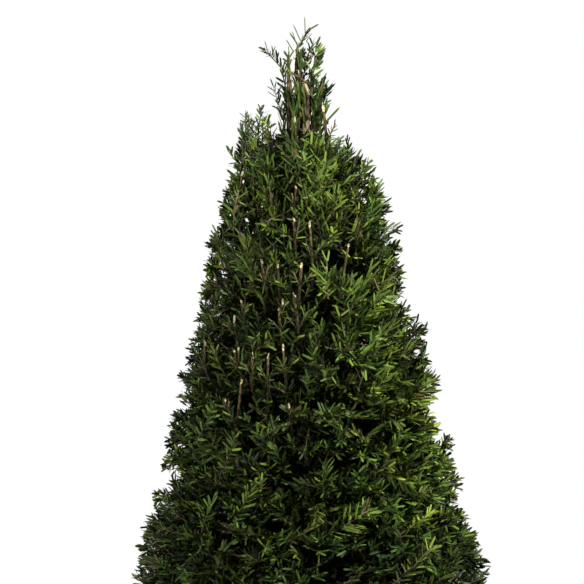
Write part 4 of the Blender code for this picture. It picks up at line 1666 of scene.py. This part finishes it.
def scattered(name, shape, faces, places, sizes, tilt, rng):
    """Copies of a small shape, each with its own size, turn, unevenness and shade on the map."""
    count = len(places)
    turn = rng.random(count) * 2 * math.pi
    up = unit(np.stack([rng.normal(0, tilt, count), rng.normal(0, tilt, count), np.ones(count)], 1))
    first = unit(np.cross(level(turn), up))
    axes = np.stack([first, np.cross(up, first), up], 1)
    local = shape[None] * sizes[:, None] * rng.uniform(0.7, 1.15, (count, len(shape), 3))
    points = places[:, None] + local @ axes
    loops = (np.arange(count)[:, None] * len(shape) + faces.ravel()).ravel()
    uv = np.empty((count, faces.size, 2))
    uv[..., 0] = rng.random((count, 1))
    uv[..., 1] = rng.uniform(0.3, 1.0, (count, 1)) * rng.uniform(0.8, 1.0, (count, faces.size))
    corner_counts = np.full(count * len(faces), faces.shape[1])
    return fast_mesh(name, points.reshape(-1, 3), loops, corner_counts, uv.reshape(-1, 2))


def soil_body():
    """The compost: its uneven top, and its side inside the pot's wall."""
    turns = turns_round(SOIL_SIDES)
    rings = []
    for radius in np.linspace(0.004, inner_radius(SOIL_TOP) - 0.0006, SOIL_RINGS):
        spots = [(radius * math.cos(turn), radius * math.sin(turn)) for turn in turns]
        rings.append([(x, y, soil_height(x, y)) for x, y in spots])
    for height in (0.20, 0.10, POT_FLOOR + 0.002):
        rings.append((inner_radius(height) - 0.0008) * level(turns) + height * UP)
    places = np.concatenate(rings)
    sides = corners_of(ring_faces(len(rings), SOIL_SIDES))[0][::-1].reshape(-1, 4)
    ends = np.array([np.arange(len(places) - SOIL_SIDES, len(places)), np.arange(SOIL_SIDES)])
    return fast_mesh("potting_soil", places, *corners_of(sides, ends))


def make_soil():
    """The compost, with crumbs, chips of bark and fallen needles on it."""
    rng = np.random.default_rng(SEED + 1)
    add_piece(soil_body(), soil_material(), ["soil"])
    sizes = rng.uniform(0.0009, 0.0026, (CRUMBS, 1)) * rng.uniform(0.7, 1.2, (CRUMBS, 3))
    crumbs = scattered("soil_crumbs", OCTAHEDRON, OCTAHEDRON_FACES, on_soil(CRUMBS, rng), sizes, 1.0, rng)
    add_piece(crumbs, scatter_material("soil_crumbs", CRUMB_COLOURS), ["soil"])
    sizes = rng.uniform((0.0030, 0.0014, 0.0005), (0.0100, 0.0034, 0.0014), (CHIPS, 3))
    places = on_soil(CHIPS, rng, 0.012) + UP * 0.0008
    chips = scattered("bark_chips", BOX, BOX_FACES, places, sizes, 0.22, rng)
    add_piece(chips, scatter_material("bark_chips", CHIP_COLOURS), ["soil"])
    add_piece(fallen_needles(rng), NEEDLE_FINISHES["dry"], ["soil"])


def fallen_needles(rng):
    """Old needles that lie on the soil."""
    foot = on_soil(FALLEN, rng, 0.022) + UP * 0.0016
    turn = rng.random(FALLEN) * 2 * math.pi
    along = unit(level(turn, rng.normal(0.02, 0.05, FALLEN)))
    normal = unit(square_to(unit(UP + rng.normal(0, 0.3, (FALLEN, 3))), along))
    bend = normal * rng.normal(0, 0.05, (FALLEN, 1))
    length = rng.uniform(0.014, 0.022, FALLEN)
    row = np.round(rng.uniform(6, 13, FALLEN))
    parts = (foot, along, normal, bend, length, np.full(FALLEN, 0.0029), row, np.zeros(FALLEN))
    return needle_mesh("fallen_needles", parts)


# ---------------------------------------------------------------- materials

BLACK = (0.0, 0.0, 0.0)
WHITE = (1.0, 1.0, 1.0)
STEM_COLOURS = ((0.022, 0.015, 0.005), (0.080, 0.056, 0.020), (0.200, 0.150, 0.062))
BARK_COLOURS = ((0.060, 0.034, 0.020), (0.210, 0.130, 0.078), (0.440, 0.330, 0.215))
CUT_COLOURS = ((0.17, 0.10, 0.04), (0.36, 0.29, 0.16), (0.56, 0.50, 0.33))
TWIG_COLOURS = ((0.090, 0.058, 0.032), (0.140, 0.095, 0.045), (0.130, 0.125, 0.035), (0.10, 0.14, 0.022))
POT_COLOURS = ((0.015, 0.016, 0.017), (0.023, 0.024, 0.025), (0.046, 0.045, 0.042))
SOIL_COLOURS = ((0.012, 0.008, 0.005), (0.032, 0.021, 0.013), (0.070, 0.048, 0.031))
CRUMB_COLOURS = ((0.012, 0.008, 0.005), (0.045, 0.030, 0.019), (0.085, 0.060, 0.040))
CHIP_COLOURS = ((0.050, 0.026, 0.013), (0.120, 0.066, 0.034), (0.230, 0.150, 0.085))


def new_material(name, roughness=None, specular=None):
    """A material with its node tree and its shader, whose uniform values are set."""
    made = bpy.data.materials.new(name)
    made.use_nodes = True
    shader = made.node_tree.nodes["Principled BSDF"]
    if roughness is not None:
        shader.inputs["Roughness"].default_value = roughness
    if specular is not None:
        shader.inputs["Specular IOR Level"].default_value = specular
    return made, made.node_tree, shader


def feed_socket(tree, socket, value):
    """Sets a socket to a number or a colour, or links it to a pattern."""
    if isinstance(value, (int, float)):
        socket.default_value = value
    elif isinstance(value, tuple):
        socket.default_value = (*value, 1.0)
    else:
        tree.links.new(value, socket)


def math_node(tree, operation, *values):
    """A sum of one or two patterns or numbers."""
    made = tree.nodes.new("ShaderNodeMath")
    made.operation = operation
    for socket, value in zip(made.inputs, values):
        feed_socket(tree, socket, value)
    return made.outputs[0]


def ramp(tree, value, positions, colours):
    """A pattern turned into colours."""
    made = tree.nodes.new("ShaderNodeValToRGB")
    tree.links.new(value, made.inputs[0])
    points = made.color_ramp.elements
    while len(points) < len(positions):
        points.new(0.5)
    for point, position, colour in zip(points, positions, colours):
        point.position = position
        point.color = (*colour, 1.0)
    return made.outputs["Color"]


def mixed(tree, share, a, b, blend="MIX"):
    """Two colours or patterns mixed by a share."""
    made = tree.nodes.new("ShaderNodeMix")
    made.data_type = "RGBA"
    made.blend_type = blend
    for number, value in ((0, share), (6, a), (7, b)):
        feed_socket(tree, made.inputs[number], value)
    return made.outputs[2]


def bump(tree, height, strength, distance):
    """A relief from a pattern of heights."""
    made = tree.nodes.new("ShaderNodeBump")
    made.inputs["Strength"].default_value = strength
    made.inputs["Distance"].default_value = distance
    tree.links.new(height, made.inputs["Height"])
    return made.outputs["Normal"]


def map_shares(tree):
    """The bake map's two numbers."""
    uv = tree.nodes.new("ShaderNodeUVMap")
    uv.uv_map = BAKE_MAP
    parts = tree.nodes.new("ShaderNodeSeparateXYZ")
    tree.links.new(uv.outputs[0], parts.inputs[0])
    return parts.outputs[0], parts.outputs[1]


def object_noise(tree, scale, detail, stretch=(1.0, 1.0, 1.0)):
    """A noise pattern that stays with the object."""
    where = tree.nodes.new("ShaderNodeTexCoord")
    scaled = tree.nodes.new("ShaderNodeMapping")
    scaled.inputs["Scale"].default_value = stretch
    tree.links.new(where.outputs["Object"], scaled.inputs["Vector"])
    made = tree.nodes.new("ShaderNodeTexNoise")
    made.inputs["Scale"].default_value = scale
    made.inputs["Detail"].default_value = detail
    tree.links.new(scaled.outputs[0], made.inputs["Vector"])
    return made.outputs[0]


def needle_material(name, colour):
    """A waxy blade, paler at its foot and along its midrib.

    The map's rows run from the darkest needles to the lightest: painted shade deeper in the crown, painted
    light higher up, and each needle's own random tone. Its columns run from olive to blue-green.
    """
    made, tree, shader = new_material(name, 0.45, 0.13)
    columns, rows = map_shares(tree)
    scaled = math_node(tree, "MULTIPLY", rows, ROWS)
    row = math_node(tree, "DIVIDE", math_node(tree, "FLOOR", scaled), ROWS - 1)
    across = math_node(tree, "ABSOLUTE", math_node(tree, "SUBTRACT", math_node(tree, "FRACT", scaled), 0.5))
    wide = math_node(tree, "MULTIPLY", columns, HUES)
    hue = math_node(tree, "DIVIDE", math_node(tree, "FLOOR", wide), HUES - 1)
    along = math_node(tree, "FRACT", wide)
    darkest = tuple(part * 0.14 for part in colour)
    dark = tuple(part * 0.33 for part in colour)
    light = tuple(min(part * scale, 1) for part, scale in zip(colour, (2.15, 2.05, 1.75)))
    shade = ramp(tree, row, (0.0, 0.35, 0.65, 1.0), (darkest, dark, colour, light))
    shade = mixed(tree, 1.0, shade, ramp(tree, hue, (0.0, 0.5, 1.0), HUE_TINTS), "MULTIPLY")
    foot = math_node(tree, "MULTIPLY", ramp(tree, along, (0.0, 0.22), (WHITE, BLACK)), 0.3)
    rib = math_node(tree, "MULTIPLY", math_node(tree, "LESS_THAN", across, 0.09), 0.22)
    paler = mixed(tree, 1.0, shade, (2.2, 1.9, 1.3), "MULTIPLY")
    shade = mixed(tree, math_node(tree, "MAXIMUM", foot, rib), shade, paler)
    tree.links.new(shade, shader.inputs["Base Color"])
    roof = math_node(tree, "MULTIPLY", math_node(tree, "MULTIPLY", across, across), -4.0)
    tree.links.new(bump(tree, roof, 0.6, 0.0008), shader.inputs["Normal"])
    return made


def bark_material(name, colours, scale, relief, mapped=False):
    """Bark with lengthwise streaks and small flakes, from its darkest to its lightest colour.

    Where it is mapped, the bake map's second number darkens it: painted shade, darker down a clipped stem
    towards its hidden foot.
    """
    made, tree, shader = new_material(name, 0.82, 0.2)
    streaks = object_noise(tree, scale, 4.0, (1.0, 1.0, 0.22))
    shade = ramp(tree, streaks, (0.36, 0.50, 0.66), colours)
    if mapped:
        lightness = ramp(tree, map_shares(tree)[1], (0.0, 1.0), ((0.05, 0.05, 0.05), WHITE))
        shade = mixed(tree, 1.0, shade, lightness, "MULTIPLY")
    tree.links.new(shade, shader.inputs["Base Color"])
    tree.links.new(bump(tree, streaks, 0.8, relief), shader.inputs["Normal"])
    return made


def cut_material():
    """Pale fresh-cut wood, browner in spots where it has weathered."""
    made, tree, shader = new_material("cut_wood", 0.75)
    shade = ramp(tree, object_noise(tree, 420.0, 2.0), (0.38, 0.50, 0.64), CUT_COLOURS)
    tree.links.new(shade, shader.inputs["Base Color"])
    return made


def twig_material():
    """Young wood: from brown bark at its old end to olive green at its young end, darkened by the map's
    second number as painted shade deeper in the crown.
    """
    made, tree, shader = new_material("young_wood", 0.7)
    youth, own = map_shares(tree)
    shade = ramp(tree, youth, (0.0, 0.45, 0.8, 1.0), TWIG_COLOURS)
    lightness = ramp(tree, own, (0.0, 1.0), ((0.06, 0.06, 0.06), (1.40, 1.35, 1.25)))
    tree.links.new(mixed(tree, 1.0, shade, lightness, "MULTIPLY"), shader.inputs["Base Color"])
    return made


def pot_material():
    """Charcoal moulded plastic, dusty in patches, with fine upright scuffs."""
    made, tree, shader = new_material("charcoal_plastic")
    dust = object_noise(tree, 14.0, 5.0)
    scuffs = object_noise(tree, 240.0, 3.0, (1.0, 1.0, 0.06))
    shade = ramp(tree, dust, (0.30, 0.55, 0.80), POT_COLOURS)
    amount = math_node(tree, "MULTIPLY", ramp(tree, scuffs, (0.60, 0.78), (BLACK, WHITE)), 0.35)
    shade = mixed(tree, amount, shade, (0.080, 0.078, 0.073))
    tree.links.new(shade, shader.inputs["Base Color"])
    rough = ramp(tree, dust, (0.30, 0.75), ((0.42, 0.42, 0.42), (0.68, 0.68, 0.68)))
    tree.links.new(rough, shader.inputs["Roughness"])
    grain = object_noise(tree, 900.0, 2.0)
    tree.links.new(bump(tree, grain, 0.25, 0.0003), shader.inputs["Normal"])
    return made


def soil_material():
    """Dark damp peat with paler fibres."""
    made, tree, shader = new_material("potting_soil", 0.95)
    clods = object_noise(tree, 90.0, 6.0)
    specks = object_noise(tree, 620.0, 2.0)
    shade = ramp(tree, clods, (0.30, 0.52, 0.75), SOIL_COLOURS)
    amount = math_node(tree, "MULTIPLY", ramp(tree, specks, (0.66, 0.74), (BLACK, WHITE)), 0.6)
    shade = mixed(tree, amount, shade, (0.150, 0.110, 0.075))
    tree.links.new(shade, shader.inputs["Base Color"])
    tree.links.new(bump(tree, clods, 0.9, 0.002), shader.inputs["Normal"])
    return made


def scatter_material(name, colours):
    """Small loose pieces, each with its own colour and shade from the map."""
    made, tree, shader = new_material(name, 0.92)
    which, own = map_shares(tree)
    shade = ramp(tree, which, (0.0, 0.6, 1.0), colours)
    lightness = ramp(tree, own, (0.0, 1.0), ((0.3, 0.3, 0.3), (1.2, 1.2, 1.2)))
    tree.links.new(mixed(tree, 1.0, shade, lightness, "MULTIPLY"), shader.inputs["Base Color"])
    return made


TONES = tuple(TONE_COLOURS)
NEEDLE_FINISHES = {tone: needle_material(f"needle_{tone}", colour) for tone, colour in TONE_COLOURS.items()}


# ---------------------------------------------------------------- the crown


def make_crown():
    """The shoots, the wood they grow from and their needles, by the seeded rule."""
    stubs = placed_stubs(draws(1))
    own = placed_shoots(draws(2)) + spike_shoots(draws(3))
    tufts = stub_tufts(stubs, draws(4))
    outer, left_out = surface_sprays(own + tufts + stubs)
    inner = inner_sprays(outer, draws(6)) + inner_sprays(left_out, draws(13))
    wood = first_wood()
    grow_limbs(wood, outer, draws(7))
    for stub in stubs:
        end = wood.join(stub.path[0], unit(stub.path[1] - stub.path[0]), LIMB_PATH)
        wood.feed(end, STUB_SHOOTS)
    attach(wood, own)
    attach(wood, inner)
    attach(wood, outer)
    rng = draws(8)
    for main in inner + outer:
        height = main.tip[2]
        tone = pick_tone(main, rng)
        # Painted light: sprays higher up, from 0.85 m to 1.2 m, take lighter rows of the map, and those a
        # little lower slightly darker ones.
        row = rng.uniform(9.0, 13.0) + 3.0 * np.clip((height - 0.85) / 0.35, -0.2, 1)
        painted(main, tone, row, rng.normal(1.05, 0.65) - 0.45 * long_needled(height))
    shoots = [item for main in inner + outer + own + tufts for item in (main, *main.sides)]
    masses = names_of("mass_")
    make_needles(shoots, stubs, masses, draws(9))
    make_twigs(wood, shoots, masses, draws(10))
    make_stubs(stubs, masses, draws(11))
    make_spike_stems(draws(12))


def make_needles(shoots, stubs, masses, rng):
    """All the needles, joined by tone."""
    needles = Needles()
    for item in shoots:
        dress(item, needles, rng)
    lone_needles(needles)
    top = trunk_centre(TRUNK_TOP)
    bare_trunk = SimpleNamespace(
        top=top, axis=UP, view=unit(CAMERA - top), length=BARE_TRUNK, radius=TRUNK_TOP_BARE, clear=BARE_TRUNK,
    )
    for tone in TONES:
        parts = needles.of(tone, [*stubs, bare_trunk])
        for number, start in enumerate(range(0, len(parts[0]), MOST_NEEDLES), 1):
            chunk = [part[start : start + MOST_NEEDLES] for part in parts]
            mesh = needle_mesh(f"needles_{tone}_{number}", chunk)
            add_piece(mesh, NEEDLE_FINISHES[tone], masses)


# ---------------------------------------------------------------- studio


def make_world():
    """A plain white backdrop with a dimmer light of its own."""
    world = bpy.data.worlds.new("studio")
    bpy.context.scene.world = world
    world.use_nodes = True
    tree = world.node_tree
    ambient = tree.nodes["Background"]
    backdrop = tree.nodes.new("ShaderNodeBackground")
    for shader, strength in ((ambient, 0.18), (backdrop, 1.0)):
        shader.inputs["Color"].default_value = (*WHITE, 1.0)
        shader.inputs["Strength"].default_value = strength
    rays = tree.nodes.new("ShaderNodeLightPath")
    either = tree.nodes.new("ShaderNodeMixShader")
    tree.links.new(rays.outputs["Is Camera Ray"], either.inputs[0])
    tree.links.new(ambient.outputs[0], either.inputs[1])
    tree.links.new(backdrop.outputs[0], either.inputs[2])
    tree.links.new(either.outputs[0], tree.nodes["World Output"].inputs["Surface"])


def softbox(name, place, target_height, size, power, colour):
    """A round soft light that looks at the plant."""
    light = bpy.data.lights.new(name, "AREA")
    light.shape = "DISK"
    light.size = size
    light.energy = power
    light.color = colour
    lamp = linked(name, light)
    lamp.location = place
    lamp.rotation_euler = Vector(UP * target_height - place).to_track_quat("-Z", "Y").to_euler()


def make_floor():
    """A pale round floor."""
    shape = bmesh.new()
    bmesh.ops.create_circle(shape, cap_ends=True, cap_tris=False, segments=96, radius=2.6)
    mesh = bpy.data.meshes.new("floor")
    shape.to_mesh(mesh)
    shape.free()
    floor = linked("floor", mesh)
    made, _, shader = new_material("pale_floor", 0.9)
    shader.inputs["Base Color"].default_value = (0.86, 0.86, 0.86, 1.0)
    mesh.materials.append(made)


def make_camera():
    """The camera, level, with the picture's width set at the trunk."""
    lens = bpy.data.cameras.new("camera")
    lens.sensor_width = SENSOR_WIDTH
    lens.lens = SENSOR_WIDTH * -CAMERA[1] / PICTURE_WIDTH
    camera = linked("camera", lens)
    camera.location = CAMERA
    camera.rotation_euler = (math.pi / 2, 0.0, 0.0)
    bpy.context.scene.camera = camera


def make_studio():
    """The white backdrop, three soft lights, the floor and the camera."""
    bpy.context.scene.view_settings.view_transform = "Standard"
    make_world()
    softbox("key", (2.35, -1.35, 3.3), 1.0, 0.40, 282.0, (1.0, 0.98, 0.95))
    softbox("fill", (-2.3, -1.8, 2.7), 0.9, 0.5, 124.0, (1.0, 0.99, 0.97))
    softbox("back", (-1.0, 2.6, 2.8), 0.9, 1.6, 110.0, WHITE)
    make_floor()
    make_camera()


make_studio()
make_crown()
make_trunk()
make_boughs()
make_pot()
make_soil()
